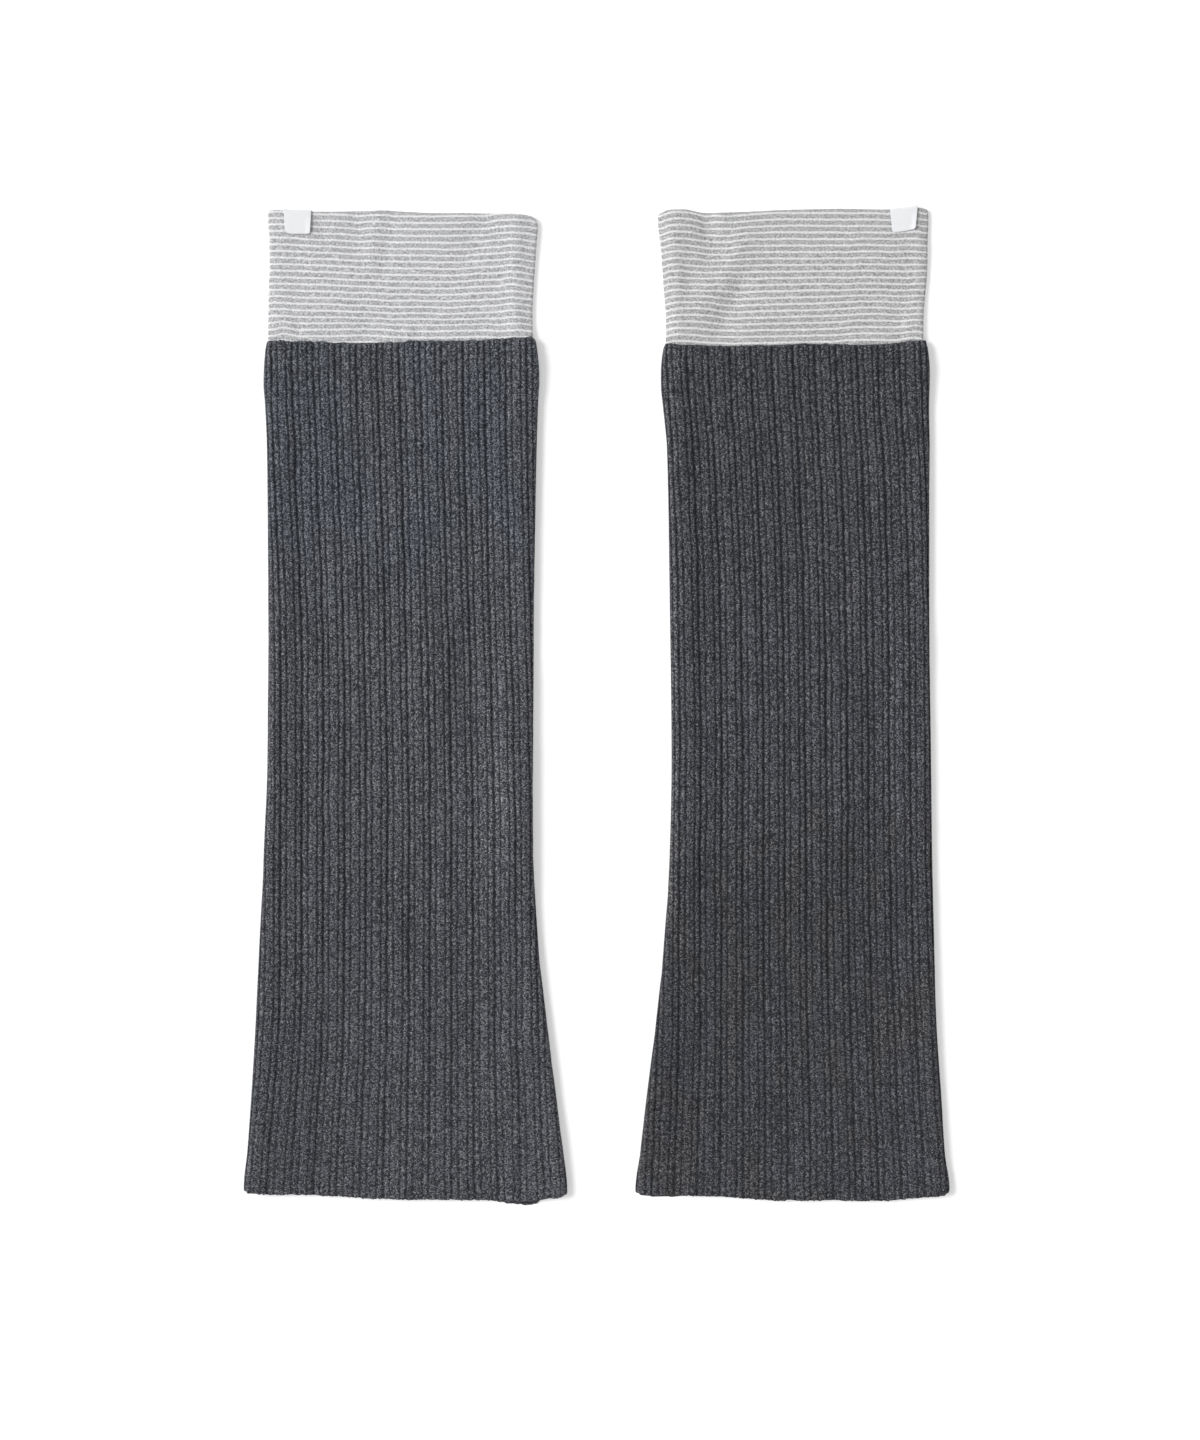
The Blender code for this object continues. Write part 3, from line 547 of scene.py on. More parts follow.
class Cloth:
    """Points, faces and cloth coordinates of one piece, gathered before its mesh is made."""

    def __init__(self, leg):
        self.leg = leg
        self.points, self.places, self.marks, self.faces = [], [], [], []
        self.count = 0

    def add(self, points, places, marks=None):
        """Adds a grid of points, with their places on the cloth; returns the grid of their numbers."""
        shape = points.shape[:-1]
        size = math.prod(shape)
        self.points.append(points.reshape(size, 3))
        self.places.append(places.reshape(size, 2))
        self.marks.append(np.zeros(size) if marks is None else marks.reshape(size))
        self.count += size
        return np.arange(self.count - size, self.count).reshape(shape)

    def skin(self, grid, closed=True, flip=False):
        """Quads over a grid of point numbers."""
        if closed:
            grid = np.hstack([grid, grid[:, :1]])
        quads = [grid[:-1, :-1], grid[:-1, 1:], grid[1:, 1:], grid[1:, :-1]]
        if flip:
            quads.reverse()
        self.faces.extend(np.stack(quads, axis=-1).reshape(-1, 4).tolist())

    def stitch(self, outer, inner, flip=False):
        """Triangles between an outer and an inner closed loop of unlike counts."""
        points = np.vstack(self.points)

        def placed(loop):
            xs = points[loop, 0]
            loop = np.roll(loop, -int(np.argmin(xs)))
            xs = points[loop, 0]
            u = (xs - (xs.max() + xs.min()) / 2) / ((xs.max() - xs.min()) / 2)
            over = np.arange(len(loop)) <= int(np.argmax(xs))
            return np.append(loop, loop[0]), np.append(np.where(over, 1.0 + u, 3.0 - u), 4.0)

        outer, outer_at = placed(outer)
        inner, inner_at = placed(inner)
        i = j = 0
        while i < len(outer) - 1 or j < len(inner) - 1:
            if j == len(inner) - 1 or (i < len(outer) - 1 and outer_at[i + 1] <= inner_at[j + 1]):
                face = [int(outer[i]), int(outer[i + 1]), int(inner[j])]
                i += 1
            else:
                face = [int(outer[i]), int(inner[j + 1]), int(inner[j])]
                j += 1
            self.faces.append(face[::-1] if flip else face)

    def piece(self, name, material, around):
        """The finished object; around is the cloth coordinate's whole turn, where it starts again."""
        points = np.vstack(self.points) + np.array([self.leg.axis_x, Y_SHIFT, 0.0])
        mesh = bpy.data.meshes.new(name)
        mesh.from_pydata((points * MM).tolist(), [], self.faces)
        starts = np.array([p.loop_start for p in mesh.polygons])
        corners = np.array([loop.vertex_index for loop in mesh.loops])
        uv = np.vstack(self.places)[corners]
        if around:
            sides = np.diff(np.append(starts, len(corners)))
            widest = np.repeat(np.maximum.reduceat(uv[:, 0], starts), sides)
            uv[:, 0] += np.where(widest - uv[:, 0] > around / 2, around, 0.0)
        mesh.uv_layers.new(name="cloth").data.foreach_set("uv", uv.ravel())
        # This attribute carries painted light and shade: the folds' flanks, the tube's inside and the label's
        # shadow line.
        mesh.attributes.new("mark", "FLOAT", "POINT").data.foreach_set("value", np.concatenate(self.marks))
        mesh.materials.append(material)
        mesh.shade_smooth()
        mesh.update()
        obj = bpy.data.objects.new(name, mesh)
        bpy.context.scene.collection.objects.link(obj)
        return obj


def edge_shift(edges, x, upper):
    """How far a hem or seam line lies above its nominal place; upper is 1 on the top layer, 0 below."""
    lower_line = column(edges, "lower", x)
    return lower_line + (column(edges, "upper", x) - lower_line) * upper


def tube_y(leg, x, height, down, total):
    """The place along Y of tube points, bent by the hem's and the seam's own lines."""
    upper = ease(height / total)
    hem_weight = ease((down - leg.tube[-1].down) / HEM_BLEND + 1.0)
    seam_weight = 1.0 - ease((down - leg.seam) / SEAM_BLEND)
    shift = hem_weight * edge_shift(leg.hem, x, upper) + seam_weight * edge_shift(leg.seam_line, x, upper)
    return leg.top_y - down + shift - SEAM_LOWER * seam_weight


def rib_places():
    """Places round the tube in repeats, from the middle groove: close on top, wider apart underneath."""
    places = []
    for repeat in range(-TOP_REPEATS, RIB_REPEATS - TOP_REPEATS):
        count = TOP_POINTS if repeat < TOP_REPEATS else UNDER_POINTS
        places.extend(repeat + k / count for k in range(count))
    return np.array(places)


def rib_distances(leg, ring, outline, places, down):
    """How far round a ring's outline the places lie: evenly on top and underneath, with a little wander."""
    across, around, under = TUBE_OUTLINE
    right_edge = outline.reached[across + around // 2]
    left_edge = outline.reached[across + around + under + around // 2]
    start = ring.groove - (ring.left - STAND_OUT[0]) - TUBE_FOLD
    ribs_right = (right_edge - start) / ring.pitch
    ribs_left = (start + outline.length - left_edge) / ring.pitch
    under_pitch = (left_edge - right_edge) / (RIB_REPEATS - ribs_right - ribs_left)
    distance = start + places * ring.pitch
    past_right, past_left = places > ribs_right, places < -ribs_left
    distance = np.where(past_right, right_edge + (places - ribs_right) * under_pitch, distance)
    distance = np.where(past_left, left_edge + (places + ribs_left) * under_pitch, distance)
    free = HELD_SHARE + (1.0 - HELD_SHARE) * ease((down - leg.seam) / SEAM_HOLD)
    return distance + wave_sum(GROOVE_WANDER, leg.seed, places, down) * free


def rib_depth(leg, places, down, pitch):
    """How far the surface lies under the wide ribs' crests."""
    within = places - np.floor(places)
    beside = np.minimum(within, 1.0 - within)
    depth = NARROW_DEPTH * (1.0 - ease((beside - NARROW_EDGE) / NARROW_BLEND))
    to_hem = from_ends(leg, down)[1]
    flatter = 1.0 - HEM_FLATTER * ease((HEM_FLATTER_FROM - to_hem) / HEM_FLATTER_BLEND)
    for groove in GROOVES:
        number = np.round(places - groove.place)
        off = np.abs(places - groove.place - number) * pitch
        vary = 1.0 + wave_sum(GROOVE_UNEVEN, leg.seed + groove.seed, number, down)
        depth = depth + groove.depth * flatter * vary * np.exp(-((off / groove.width) ** GROOVE_SHAPE))
    return depth


def from_ends(leg, down):
    """Distances from the tube's first ring and from its last."""
    return down - leg.tube[0].down, leg.tube[-1].down - down


def rounded_end(distance, rounding):
    """How far the surface is drawn in at a distance from a rounded end."""
    t = np.clip(1.0 - distance / rounding.reach, 0.0, 1.0)
    return rounding.depth * (1.0 - math.sqrt(1.0 - t * t))


def end_stitches(leg, places, depth, down):
    """How far the tube's ends are moved along Y by the ribs, which stand out, and by ragged stitches."""
    scallop = 0.5 - depth / GROOVES[0].depth
    ragged = wave_sum(RAGGED_END, leg.seed, places, down)
    ragged += LOOP_HEIGHT * np.abs(np.cos(math.pi * places * WALES)) - LOOP_MIDDLE
    at_seam, at_hem = (math.exp(-distance / END_REACH) for distance in from_ends(leg, down))
    seam_shift = (SEAM_ROUND.scallop * scallop + ragged) * at_seam
    return seam_shift - (HEM_ROUND.scallop * scallop + ragged + HEM_OUT) * at_hem


def tube_section(leg, down, places):
    """(x, y, z) of the ribbed outside at a place along the tube."""
    ring = ring_at(TubeRing, leg.tube, down)
    high = RIB_UNDER_WALL + ring.hollow + RIB_WALL
    total = high + ring.swell
    left, right = ring.left - STAND_OUT[0], ring.right + STAND_OUT[1]
    outline = Outline(flat_tube(left, right, 0.0, high, TUBE_FOLD, ring.swell, TUBE_OUTLINE))
    x, z, nx, nz = outline.at(rib_distances(leg, ring, outline, places, down))
    depth = rib_depth(leg, places, down, ring.pitch)
    ends = max(map(rounded_end, from_ends(leg, down), (SEAM_ROUND, HEM_ROUND)))
    ends = ends * (SIDE_ROUND + (1.0 - SIDE_ROUND) * np.abs(nz))
    pressed = UNDER_RELIEF + (1.0 - UNDER_RELIEF) * ease((nz + 1.0) / FULL_TURN)
    inward = ((depth ** 3 + ends ** 3) ** (1 / 3)) * pressed
    broad = wave_sum(TUBE_WAVES, leg.seed, x, down) + fold_sum(leg.tube_folds, x, down)
    for ridge in SEAM_RIDGES:
        broad += ridge.height * hump(down - leg.seam - ridge.down, ridge.half_width)
    lift = (broad - SETTLED) * ease(z / total) * ease((nz - LIFT_FROM) / LIFT_BLEND)
    y = tube_y(leg, x, z, down, total) + end_stitches(leg, places, depth, down)
    return columns(x - nx * inward, y, np.maximum(z - nz * inward + lift, 0.0))


def tube_inside(leg, down):
    """(x, y, z) points round the tube's plain inside."""
    ring = ring_at(TubeRing, leg.tube, down)
    left, right = ring.left + RIB_SIDE_WALL, ring.right - RIB_SIDE_WALL
    high = RIB_UNDER_WALL + ring.hollow
    x, z = flat_tube(left, right, RIB_UNDER_WALL, high, TUBE_FOLD - RIB_SIDE_WALL, ring.swell, TUBE_INSIDE).T
    y = tube_y(leg, x, z, down, high + RIB_WALL + ring.swell)
    raised = np.maximum(fold_sum(leg.tube_folds, x, down), 0.0)
    upper = ease((z - RIB_UNDER_WALL) / ring.hollow)
    return columns(x, y, z + INSIDE_FOLDS * raised * upper)


def cloth_places(across, along):
    """A grid of cloth coordinates."""
    return np.stack(np.broadcast_arrays(across[None, :], along[:, None]), axis=-1)


def make_tube(leg, material):
    """The ribbed tube: one shell with ribs outside and a plain inside."""
    first, last = leg.tube[0].down, leg.tube[-1].down
    head = first + np.array(HEAD_STEPS)
    tail = last - np.array(TAIL_STEPS)[::-1]
    between = int(round((tail[0] - head[-1]) / RING_STEP))
    downs = np.concatenate([head, np.linspace(head[-1], tail[0], between + 1)[1:-1], tail])
    places = rib_places()
    sections = np.stack([tube_section(leg, float(down), places) for down in downs])
    # Painted light and shade of the folds, on the tube's outside only.
    tones = fold_sum(leg.tones, sections[..., 0], downs[:, None])
    tones *= ease((sections[..., 2] - PAINTED_LIGHT_FROM) / PAINTED_LIGHT_BLEND)
    inside_downs = np.linspace(first, last, INSIDE_RINGS)
    loops = np.stack([tube_inside(leg, float(down)) for down in inside_downs])
    turn = RIB_REPEATS * WALES
    around = np.arange(loops.shape[1]) / loops.shape[1] * turn - TOP_REPEATS * WALES
    cloth = Cloth(leg)
    outside = cloth.add(sections, cloth_places(places * WALES, downs / COURSE), tones)
    # Painted shade on the tube's plain inside.
    painted_inside_shade = np.full(loops.shape[:2], INSIDE_PAINTED_SHADE)
    inside = cloth.add(loops, cloth_places(around, inside_downs / COURSE), painted_inside_shade)
    cloth.skin(outside, flip=True)
    cloth.skin(inside)
    cloth.stitch(outside[0], inside[0])
    cloth.stitch(outside[-1], inside[-1], flip=True)
    return cloth.piece(f"rib_tube_cloth_{leg.side}", material, turn)


def cuff_rings(leg):
    """The cuff's own rings, and the ones where it lies inside the tube."""
    tucked = list(leg.cuff)
    side, lift = RIB_SIDE_WALL + SEAM_GAP, RIB_UNDER_WALL + SEAM_GAP
    for past in TUCK_PLACES:
        ring = ring_at(TubeRing, leg.tube, leg.seam + max(past, 0.0))
        hollow = ring.hollow - 2 * SEAM_GAP - 2 * CUFF_WALL
        tucked.append(CuffRing(leg.seam + past, ring.left + side, ring.right - side, lift, hollow))
    return tucked


def cuff_relief(leg, x, down):
    """Soft folds in the cuff's upper layer, and the small puckers that its seam draws up."""
    to_seam = leg.seam - down
    near_seam = hump(to_seam - PUCKERS_PLACE, PUCKERS_REACH) * ease(to_seam / PUCKERS_PLACE)
    return (
        fold_sum(leg.folds, x, down) * ease(to_seam / FOLDS_FADE)
        + wave_sum(SEAM_PUCKERS, leg.seed, x, down) * near_seam
        + wave_sum(CUFF_TOP_WAVES, leg.seed, x, down) * hump(down - CUFF_TOP, CUFF_TOP_REACH)
        + wave_sum(CUFF_WAVES, leg.seed, x, down) * ease(to_seam / WAVES_FADE)
    )


def cuff_y(leg, x, down, upper):
    """The place along Y of cuff points, between the top edge's line and the seam's."""
    t = ease(down / leg.seam)
    top = edge_shift(leg.cuff_top, x, upper)
    return leg.top_y - down + (1.0 - t) * top + t * edge_shift(leg.seam_line, x, upper)


def stripe_bend(leg, x, down):
    """How far the stripes lie below their straight lines at places on the upper layer."""
    places = np.array(leg.stripes.places)
    values = np.stack([column(leg.stripes.bends, name, x) for name in Bend._fields[1:]])
    at = np.clip(down, places[0], places[-1])
    k = np.clip(np.searchsorted(places, at) - 1, 0, len(places) - 2)
    t = ease((at - places[k]) / (places[k + 1] - places[k]))
    index = np.arange(len(x))
    return values[k, index] * (1 - t) + values[k + 1, index] * t


def cuff_section(leg, rings, down, inset):
    """(x, y, z) of one of the cuff's surfaces, and each point's place among the stripes."""
    ring = ring_at(CuffRing, rings, down)
    left, right = ring.left + inset, ring.right - inset
    low, high = ring.lift + inset, ring.lift + 2 * CUFF_WALL + ring.hollow - inset
    x, z = flat_tube(left, right, low, high, CUFF_FOLD - inset, CUFF_SWELL, CUFF_SURFACE).T
    upper = (z - low) / (z.max() - low)
    y = cuff_y(leg, x, down, ease(upper))
    relief = cuff_relief(leg, x, down)
    if inset > CUFF_WALL / 2:
        relief = np.maximum(relief, -(ring.hollow + CUFF_SWELL))
    z = z + upper * relief
    level = leg.top_y - y
    bend = stripe_bend(leg, x, level) * (UNDER_BEND + (1.0 - UNDER_BEND) * ease(upper))
    return columns(x, y, z), level - bend - wave_sum(STRIPE_WANDER, leg.seed, x, level)


def make_cuff(leg, material):
    """The doubled jersey cuff: a rounded fold along its top, and a lower end inside the tube."""
    rings = cuff_rings(leg)
    half = CUFF_WALL / 2
    # Each row's place down the cuff, how far the surface is drawn in there, and its place round the fold.
    angles = [math.radians(angle) for angle in CUFF_EDGE_ANGLES]
    edge_rows = [(half * (1 - math.sin(a)), half * (1 - math.cos(a)), half * (1 - a)) for a in angles]
    cloth = Cloth(leg)
    grids = []
    for step, inner in ((CUFF_STEP, False), (CUFF_INSIDE_STEP, True)):
        count = int(round((leg.seam - CUFF_LAST - half) / step))
        plain = np.linspace(half, leg.seam - CUFF_LAST, count + 1)
        plain = np.append(plain, leg.seam + np.array(TUCK_PLACES))
        points, spots = [], []
        for down, drawn_in, round_place in edge_rows + [(down, 0.0, down) for down in plain]:
            inset = CUFF_WALL - drawn_in if inner else drawn_in
            section, level = cuff_section(leg, rings, float(down), inset)
            level = level + round_place - down
            if inner:
                level = 2 * half * (1 - math.pi / 2) - level
            around = np.arange(len(section)) / len(section)
            points.append(section)
            spots.append(columns(around, (level - leg.stripes.first) / leg.stripes.pitch))
        grid = cloth.add(np.stack(points), np.stack(spots))
        cloth.skin(grid, flip=not inner)
        grids.append(grid)
    outer, inner = grids
    cloth.skin(np.stack([outer[0], inner[0]]))
    cloth.skin(np.stack([outer[-1], inner[-1]]), flip=True)
    return cloth.piece(f"jersey_cuff_cloth_{leg.side}", material, 1.0)


def upper_surface(leg, rings, x, down):
    """Height of the cuff's upper layer, where the label lies on it."""
    lift, hollow, left, right = (column(rings, name, down) for name in ("lift", "hollow", "left", "right"))
    high = lift + 2 * CUFF_WALL + hollow + swell(x, left, right, CUFF_FOLD, CUFF_SWELL)
    return high + cuff_relief(leg, x, down)


def label_path(leg, rings, across, drop, lift):
    """(down, z) of a cut along the label at a height over the cuff, down its inner and outer halves."""
    x = leg.label.x + across
    half = CUFF_WALL / 2
    down = np.linspace(drop, LABEL_ENTRY, LABEL_ROWS)
    high = upper_surface(leg, rings, x, down)
    outer = columns(down, high + lift)
    inner = columns(down, high - CUFF_WALL - lift)[::-1]
    crown = float(upper_surface(leg, rings, x, half)) - half
    angle = np.linspace(math.pi / 2, -math.pi / 2, LABEL_ARC)
    reach = half + lift
    arc = columns(half - reach * np.cos(angle), crown + reach * np.sin(angle))
    return np.vstack([outer, arc, inner])


def label_cut(leg, rings, across, face):
    """(x, y, z) along a cut through one face of the label, and the places on the tape."""
    to_middle = abs(across)
    past = max(to_middle - (LABEL_WIDTH / 2 - LABEL_CORNER), 0.0)
    drop = LABEL_DROP - LABEL_CORNER + math.sqrt(max(LABEL_CORNER ** 2 - past ** 2, 0.0))
    path = label_path(leg, rings, across, drop, LABEL_LIFT + LABEL_THICK / 2)
    index = np.arange(len(path))
    to_end = np.minimum(index, index[::-1]) * (drop / LABEL_ROWS)
    t = np.clip(1.0 - np.minimum(to_end, LABEL_WIDTH / 2 - to_middle) / LABEL_EDGE, 0.0, 1.0)
    thick = LABEL_THICK / 2 * (LABEL_THIN + (1.0 - LABEL_THIN) * np.sqrt(1.0 - t * t))
    step = np.gradient(path, axis=0)
    out = columns(step[:, 1], -step[:, 0]) / np.hypot(step[:, 0], step[:, 1])[:, None]
    path = path + out * (face * thick)[:, None]
    run = np.concatenate([[0.0], np.cumsum(np.hypot(*np.diff(path, axis=0).T))])
    down, z = path.T
    curl = ease((across / (LABEL_WIDTH / 2) - LABEL_CURL_FROM) / (1.0 - LABEL_CURL_FROM))
    curl = LABEL_CURL * curl * ease((LABEL_ROWS - index) / LABEL_CURL_ROWS) * ease(2.0 * down / LABEL_DROP)
    x = leg.label.x + across * (1.0 - leg.label.taper * down / LABEL_DROP)
    top = leg.top_y + edge_shift(leg.cuff_top, leg.label.x + across, 1.0)
    y = top - down + leg.label.slant * across
    return columns(x, y, z + curl), columns(np.full(len(run), across), run)


def make_label(leg, material):
    """The woven label: a thin tape folded over the cuff's top edge, sewn down on both sides."""
    rings = cuff_rings(leg)
    acrosses = -LABEL_WIDTH / 2 * np.cos(math.pi * np.arange(LABEL_COLUMNS) / (LABEL_COLUMNS - 1))
    cloth = Cloth(leg)
    grids = []
    for face in (1.0, -1.0):
        cuts = [label_cut(leg, rings, float(across), face) for across in acrosses]
        points, spots = (np.stack(part) for part in zip(*cuts))
        marks = np.zeros(points.shape[:2])
        # Painted shadow along the label's curled side edge.
        marks[-LABEL_SHADOW_COLUMNS:] = 1.0
        grids.append(cloth.add(points, spots, marks))
    outer, inner = grids
    cloth.skin(outer, closed=False)
    cloth.skin(inner, closed=False, flip=True)
    rims = [np.concatenate([g[0, :-1], g[:-1, -1], g[-1, :0:-1], g[:0:-1, 0]]) for g in grids]
    cloth.skin(np.stack(rims))
    return cloth.piece(f"woven_label_cloth_{leg.side}", material, 0.0)


def set_inputs(node, values):
    """Puts constant values into a node's own inputs."""
    for name, value in values.items():
        node.inputs[name].default_value = value


class Number:
    """A number or a colour that a material's nodes work out; arithmetic with it adds the nodes."""

    def __init__(self, shade, socket):
        self.shade, self.socket = shade, socket

    def work(self, operation, *others):
        return self.shade.node("Math", (self, *others), operation=operation)

    def work_from(self, operation, other):
        return self.shade.node("Math", (other, self), operation=operation)

    __add__ = __radd__ = partialmethod(work, "ADD")
    __mul__ = __rmul__ = partialmethod(work, "MULTIPLY")
    __sub__ = partialmethod(work, "SUBTRACT")
    __rsub__ = partialmethod(work_from, "SUBTRACT")
    __pow__ = partialmethod(work, "POWER")
    __rpow__ = partialmethod(work_from, "POWER")
    __abs__ = partialmethod(work, "ABSOLUTE")
    floor = partialmethod(work, "FLOOR")
    fract = partialmethod(work, "FRACT")
    at_least = partialmethod(work, "MAXIMUM")

    def wave(self, length):
        """A sine wave of this length."""
        return (self * (2 * math.pi / length)).work("SINE")

    def ease(self, low, high, to_low, to_high):
        """Maps low..high softly to another range."""
        values = (self, low, high, to_low, to_high)
        return self.shade.node("MapRange", values, interpolation_type="SMOOTHSTEP")


class Shade:
    """Builds a cloth material's nodes."""

    def __init__(self, name, roughness, sheen):
        self.material = bpy.data.materials.new(name)
        self.material.use_nodes = True
        self.tree = self.material.node_tree
        self.shader = self.tree.nodes["Principled BSDF"]
        set_inputs(self.shader, {
            "Roughness": roughness,
            "Sheen Weight": sheen,
            "Sheen Roughness": SHEEN_ROUGHNESS,
            "Specular IOR Level": SPECULAR,
        })

    def put(self, socket, value):
        if isinstance(value, Number):
            self.tree.links.new(value.socket, socket)
        else:
            socket.default_value = value

    def node(self, kind, values=(), output=0, **settings):
        """Adds a node, with values for inputs by place or name; gives one of its outputs."""
        node = self.tree.nodes.new("ShaderNode" + kind)
        for name, setting in settings.items():
            setattr(node, name, setting)
        for place, value in values.items() if isinstance(values, dict) else enumerate(values):
            self.put(node.inputs[place], value)
        return Number(self, node.outputs[output])

    def vector(self, x, y, z):
        return self.node("CombineXYZ", (x, y, z))

    def cloth(self):
        """The two cloth coordinates."""
        uv = self.node("UVMap", uv_map="cloth")
        return self.node("SeparateXYZ", (uv,)), self.node("SeparateXYZ", (uv,), 1)

    # The attribute of painted light and shade that brightens or darkens the colour.
    def mark(self):
        return self.node("Attribute", output="Fac", attribute_name="mark")

    def noise(self, sizes, detail=1.0):
        """Smooth noise about 0.5 over the piece's own space; the sizes of its features are millimetres."""
        place = self.node("TexCoord", output="Object")
        spot = self.blend(place, [1.0 / (size * MM) for size in sizes])
        return self.node("TexNoise", {"Vector": spot, "Scale": 1.0, "Detail": detail}, "Fac")

    def random(self, x, y, z):
        """A number from 0 to 1 of its own for each three whole numbers."""
        return self.node("TexWhiteNoise", (self.vector(x, y, z),), "Value")

    def mix(self, factor, a, b):
        return self.node("Mix", {0: factor, 6: a, 7: b}, 2, data_type="RGBA")

    def scaled(self, colour, factor):
        """A colour times a number."""
        return self.node("VectorMath", {"Vector": colour, "Scale": factor}, operation="SCALE")

    def blend(self, a, b):
        """The product of two colours or vectors."""
        return self.node("VectorMath", (a, b), operation="MULTIPLY")

    def finish(self, colour, height, distance, strength):
        """Connects the colour, and the height as a bump; its distance is in millimetres."""
        bump = {"Strength": strength, "Distance": distance * MM, "Height": height}
        self.put(self.shader.inputs["Base Color"], colour)
        self.put(self.shader.inputs["Normal"], self.node("Bump", bump))
        return self.material


def stitch_parts(shade, wale, course, slope):
    """A knit stitch's height, and a number of its own for each of its two legs."""
    side = abs((wale + 0.5).fract() - 0.5)
    climb = course + side * slope
    loop = 1.0 - abs(climb.fract() * 2.0 - 1.0)
    leg = 1.0 - 16.0 * (side - 0.25) ** 2.0
    height = loop.ease(0.0, 0.75, 0.0, 1.0) * 0.55 + leg * 0.45
    return height, shade.random(((wale + 0.5) * 2.0).floor(), climb.floor(), 0.0)


def groove_shade_mask(shade, wale, fleck, own, bead):
    """How far into a groove a place is, by its wales from the nearest deep one, as the mask of the grooves'
    painted shade; uneven like the stitches.
    """
    uneven = wale + (fleck * 0.5 + (own - 0.5) * 0.34)
    from_deep = abs((uneven * (1 / WALES) + 0.5).fract() - 0.5) * float(WALES)
    deep = from_deep.ease(0.1, 0.7, 1.0, 0.0)
    shallow = abs(from_deep - 2.0).ease(0.05, 0.58, 0.84, 0.0)
    between = from_deep.ease(3.05, 3.5, 0.0, 0.34)
    broken = shade.noise((1.6, 3.2, 1.6)) - 0.5
    return (deep.at_least(shallow) + between) * (0.62 + (broken * 1.6 + bead * 0.76))


def rib_knit(leg):
    """Charcoal marl yarn in a wide rib, softly fuzzy."""
    dye = leg.dye
    shade = Shade(f"charcoal_marl_rib_knit_{leg.side}", roughness=0.92, sheen=0.12)
    wale, course = shade.cloth()
    height, own = stitch_parts(shade, wale, course, slope=0.9)
    half = shade.random(((wale + 0.5) * 2.0).floor(), (course * 2.0).floor(), 1.0) - 0.5
    bead = shade.random((wale + 0.5).floor(), course.floor(), 2.0)
    fleck = shade.noise((1.3, 1.2, 1.3), 0.0) - 0.5
    fibre = shade.noise((0.6, 0.55, 0.6), 0.0) - 0.5
    broad = shade.noise((24.0, 60.0, 24.0)) - 0.5
    streak = shade.noise((5.0, 90.0, 5.0)) - 0.5
    # The marl: flecks of lighter and darker fibre, in the yarn and from stitch to stitch.
    marl = fleck * 2.0 + fibre * 5.8 + (own - 0.5) * 0.55 + half * 2.35 + (broad * 0.5 + streak * 0.8)
    # Painted shade between the stitches: their hollows darker, their tops lighter.
    marl = (marl * dye.crisp + height.ease(0.0, 0.9, 0.72, 1.06)).at_least(0.2)
    # Painted shade in the grooves, deeper than the geometry's own shadow.
    dark = GROOVE_PAINTED_SHADE * dye.crisp
    groove = groove_shade_mask(shade, wale, fleck, own, bead)
    groove = groove * course.ease(*GROOVE_ROWS, dark, dark * GROOVE_PAINTED_SHADE_LOW)
    # Painted light and shade of the folds and painted shade of the tube's inside scale the value here.
    value = marl * 2.0 ** groove * (dye.rib * (1.0 + shade.mark()))
    value = value * course.ease(*LOW_ROWS, 1.0, dye.low) * course.ease(*HEM_ROWS, 1.0, dye.hem / dye.low)
    # The tints: teal or slate above, and warm patches below.
    teal = (CHARCOAL, CHARCOAL * (0.975 + 0.13 * dye.teal), CHARCOAL * (1.05 + 0.28 * dye.teal), 1.0)
    lean = shade.noise((30.0, 55.0, 30.0), 2.0) + course.ease(*TEAL_ROWS, -0.09, 0.22)
    warmth = shade.noise((15.0, 45.0, 15.0), 2.0) + course.ease(*WARM_ROWS, -0.2, 0.0)
    colour = shade.mix(lean.ease(0.3, 0.7, 0.0, 1.0), teal, SLATE)
    colour = shade.mix(warmth.ease(0.46, 0.6, 0.0, dye.warm), colour, WARM_GREY)
    # The tint stays as strong in the dark grooves as on the crests.
    level = shade.vector(value, value ** 0.965, value ** 0.885)
    return shade.finish(shade.blend(colour, level), height + half * 0.5, distance=0.35, strength=0.8)


def striped_jersey(leg):
    """Light grey marl jersey with narrow white stripes; its second coordinate counts stripes."""
    dye = leg.dye
    shade = Shade(f"striped_marl_jersey_{leg.side}", roughness=0.88, sheen=0.1)
    around, stripe = shade.cloth()
    height, own = stitch_parts(shade, around * JERSEY_WALES, stripe * STRIPE_COURSES, slope=0.8)
    wobble = shade.noise((0.8, 0.8, 0.8)) - 0.5
    off = abs((stripe + wobble * 0.16 + 0.5).fract() - 0.5)
    fleck = shade.noise((1.08, 0.9, 1.0), 0.0) - 0.5
    fibre = shade.noise((0.8, 0.6, 0.7), 0.0)
    broad = shade.noise((40.0, 40.0, 40.0)) - 0.5
    grey = shade.scaled(
        (JERSEY_GREY, JERSEY_GREY, JERSEY_GREY * (0.991 + 0.033 * dye.teal)),
        (1.0 + fleck * 1.3) * (1.0 + (own - 0.5) * 0.22),
    )
    grey = shade.scaled(grey, 1.0 + (fibre - 0.5) * 0.75)
    white = shade.scaled(
        (JERSEY_WHITE, JERSEY_WHITE, JERSEY_WHITE * (0.986 + 0.031 * dye.teal)), 1.0 + (fibre - 0.5) * 0.68,
    )
    colour = shade.mix(off.ease(0.125, 0.19, dye.stripe, 0.0), grey, white)
    # Painted shade between the stitches: their hollows darker, their tops lighter.
    level = height.ease(0.0, 0.9, 0.9, 1.04) * (1.0 + broad * 0.06) * dye.jersey
    return shade.finish(shade.scaled(colour, level), height + fibre * 0.6, distance=0.14, strength=0.7)


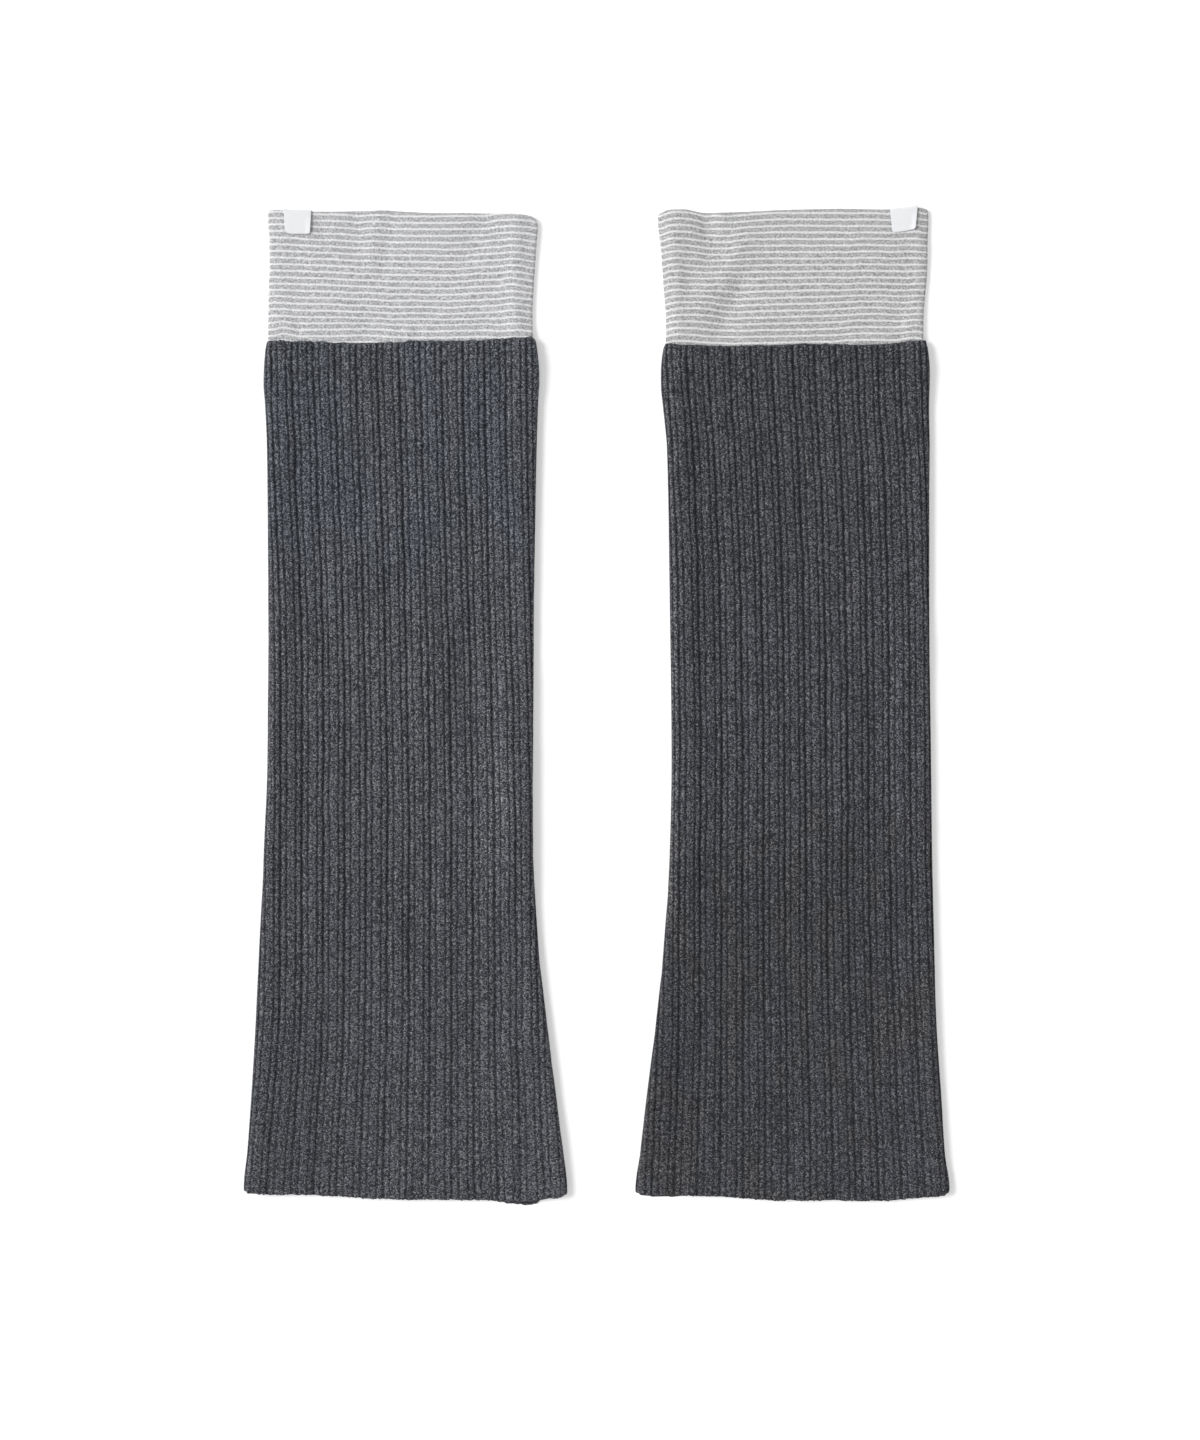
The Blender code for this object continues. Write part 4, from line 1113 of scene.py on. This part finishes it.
def woven_label():
    """White woven tape with a painted shadow line along one side edge."""
    shade = Shade("white_woven_tape", roughness=0.62, sheen=0.08)
    across, along = shade.cloth()
    weave = across.wave(TAPE_WARP) * along.wave(TAPE_WEFT)
    tone = shade.noise((2.2, 2.2, 2.2), 2.0) - 0.5
    white = shade.scaled(TAPE_WHITE, 1.0 + (weave * 0.025 + tone * 0.05))
    # Painted shadow line along the label's side edge.
    colour = shade.mix(shade.mark().ease(0.3, 0.7, 0.0, 1.0), white, TAPE_PAINTED_SHADOW)
    return shade.finish(colour, weave, distance=0.05, strength=0.5)


def make_floor():
    """A plain pale floor, bright as on a light table."""
    corners = [(x * FLOOR_HALF, y * FLOOR_HALF, FLOOR_Z) for x, y in ((-1, -1), (1, -1), (1, 1), (-1, 1))]
    mesh = bpy.data.meshes.new("floor")
    mesh.from_pydata(corners, [], [(0, 1, 2, 3)])
    material = bpy.data.materials.new("pale_floor")
    material.use_nodes = True
    set_inputs(material.node_tree.nodes["Principled BSDF"], {
        "Base Color": FLOOR_COLOUR,
        "Roughness": FLOOR_ROUGHNESS,
        "Specular IOR Level": 0.0,
        "Emission Color": WHITE,
        "Emission Strength": FLOOR_GLOW,
    })
    mesh.materials.append(material)
    floor = bpy.data.objects.new("floor", mesh)
    bpy.context.scene.collection.objects.link(floor)


def make_lamp(name, kind, place, power):
    """A light aimed at the middle of the pair; gives its settings."""
    data = bpy.data.lights.new(name, kind)
    data.energy = power
    lamp = bpy.data.objects.new(name, data)
    lamp.location = place
    lamp.rotation_mode = "QUATERNION"
    lamp.rotation_quaternion = (-Vector(place)).to_track_quat("-Z", "Y")
    bpy.context.scene.collection.objects.link(lamp)
    return data


def make_lights():
    """White surroundings, the main light and the fill."""
    world = bpy.data.worlds.new("studio")
    world.use_nodes = True
    set_inputs(world.node_tree.nodes["Background"], {"Color": WHITE, "Strength": WORLD_STRENGTH})
    bpy.context.scene.world = world
    make_lamp("key", "SUN", KEY_PLACE, KEY_STRENGTH).angle = KEY_SPREAD
    make_lamp("fill", "AREA", FILL_PLACE, FILL_POWER).size = FILL_SIZE


def make_camera():
    """Straight above, with a long lens."""
    data = bpy.data.cameras.new("camera")
    data.lens = LENS
    data.sensor_width = SENSOR
    data.clip_start, data.clip_end = CLIP
    camera = bpy.data.objects.new("camera", data)
    camera.location = CAMERA_PLACE
    bpy.context.scene.collection.objects.link(camera)
    bpy.context.scene.camera = camera


def main():
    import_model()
    make_camera()
    make_floor()
    make_lights()
    tape = woven_label()
    for leg in (LEFT, RIGHT):
        tube = make_tube(leg, rib_knit(leg))
        cuff, label = make_cuff(leg, striped_jersey(leg)), make_label(leg, tape)
        for piece, node, slot in (
            (tube, f"leg_tube_{leg.side}", "rib_knit"),
            (cuff, f"cuff_{leg.side}", "striped_jersey"),
            (label, f"label_{leg.side}", "woven_label"),
        ):
            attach(piece, "root")
            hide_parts(node)
    bpy.context.scene.view_settings.view_transform = "Standard"


main()
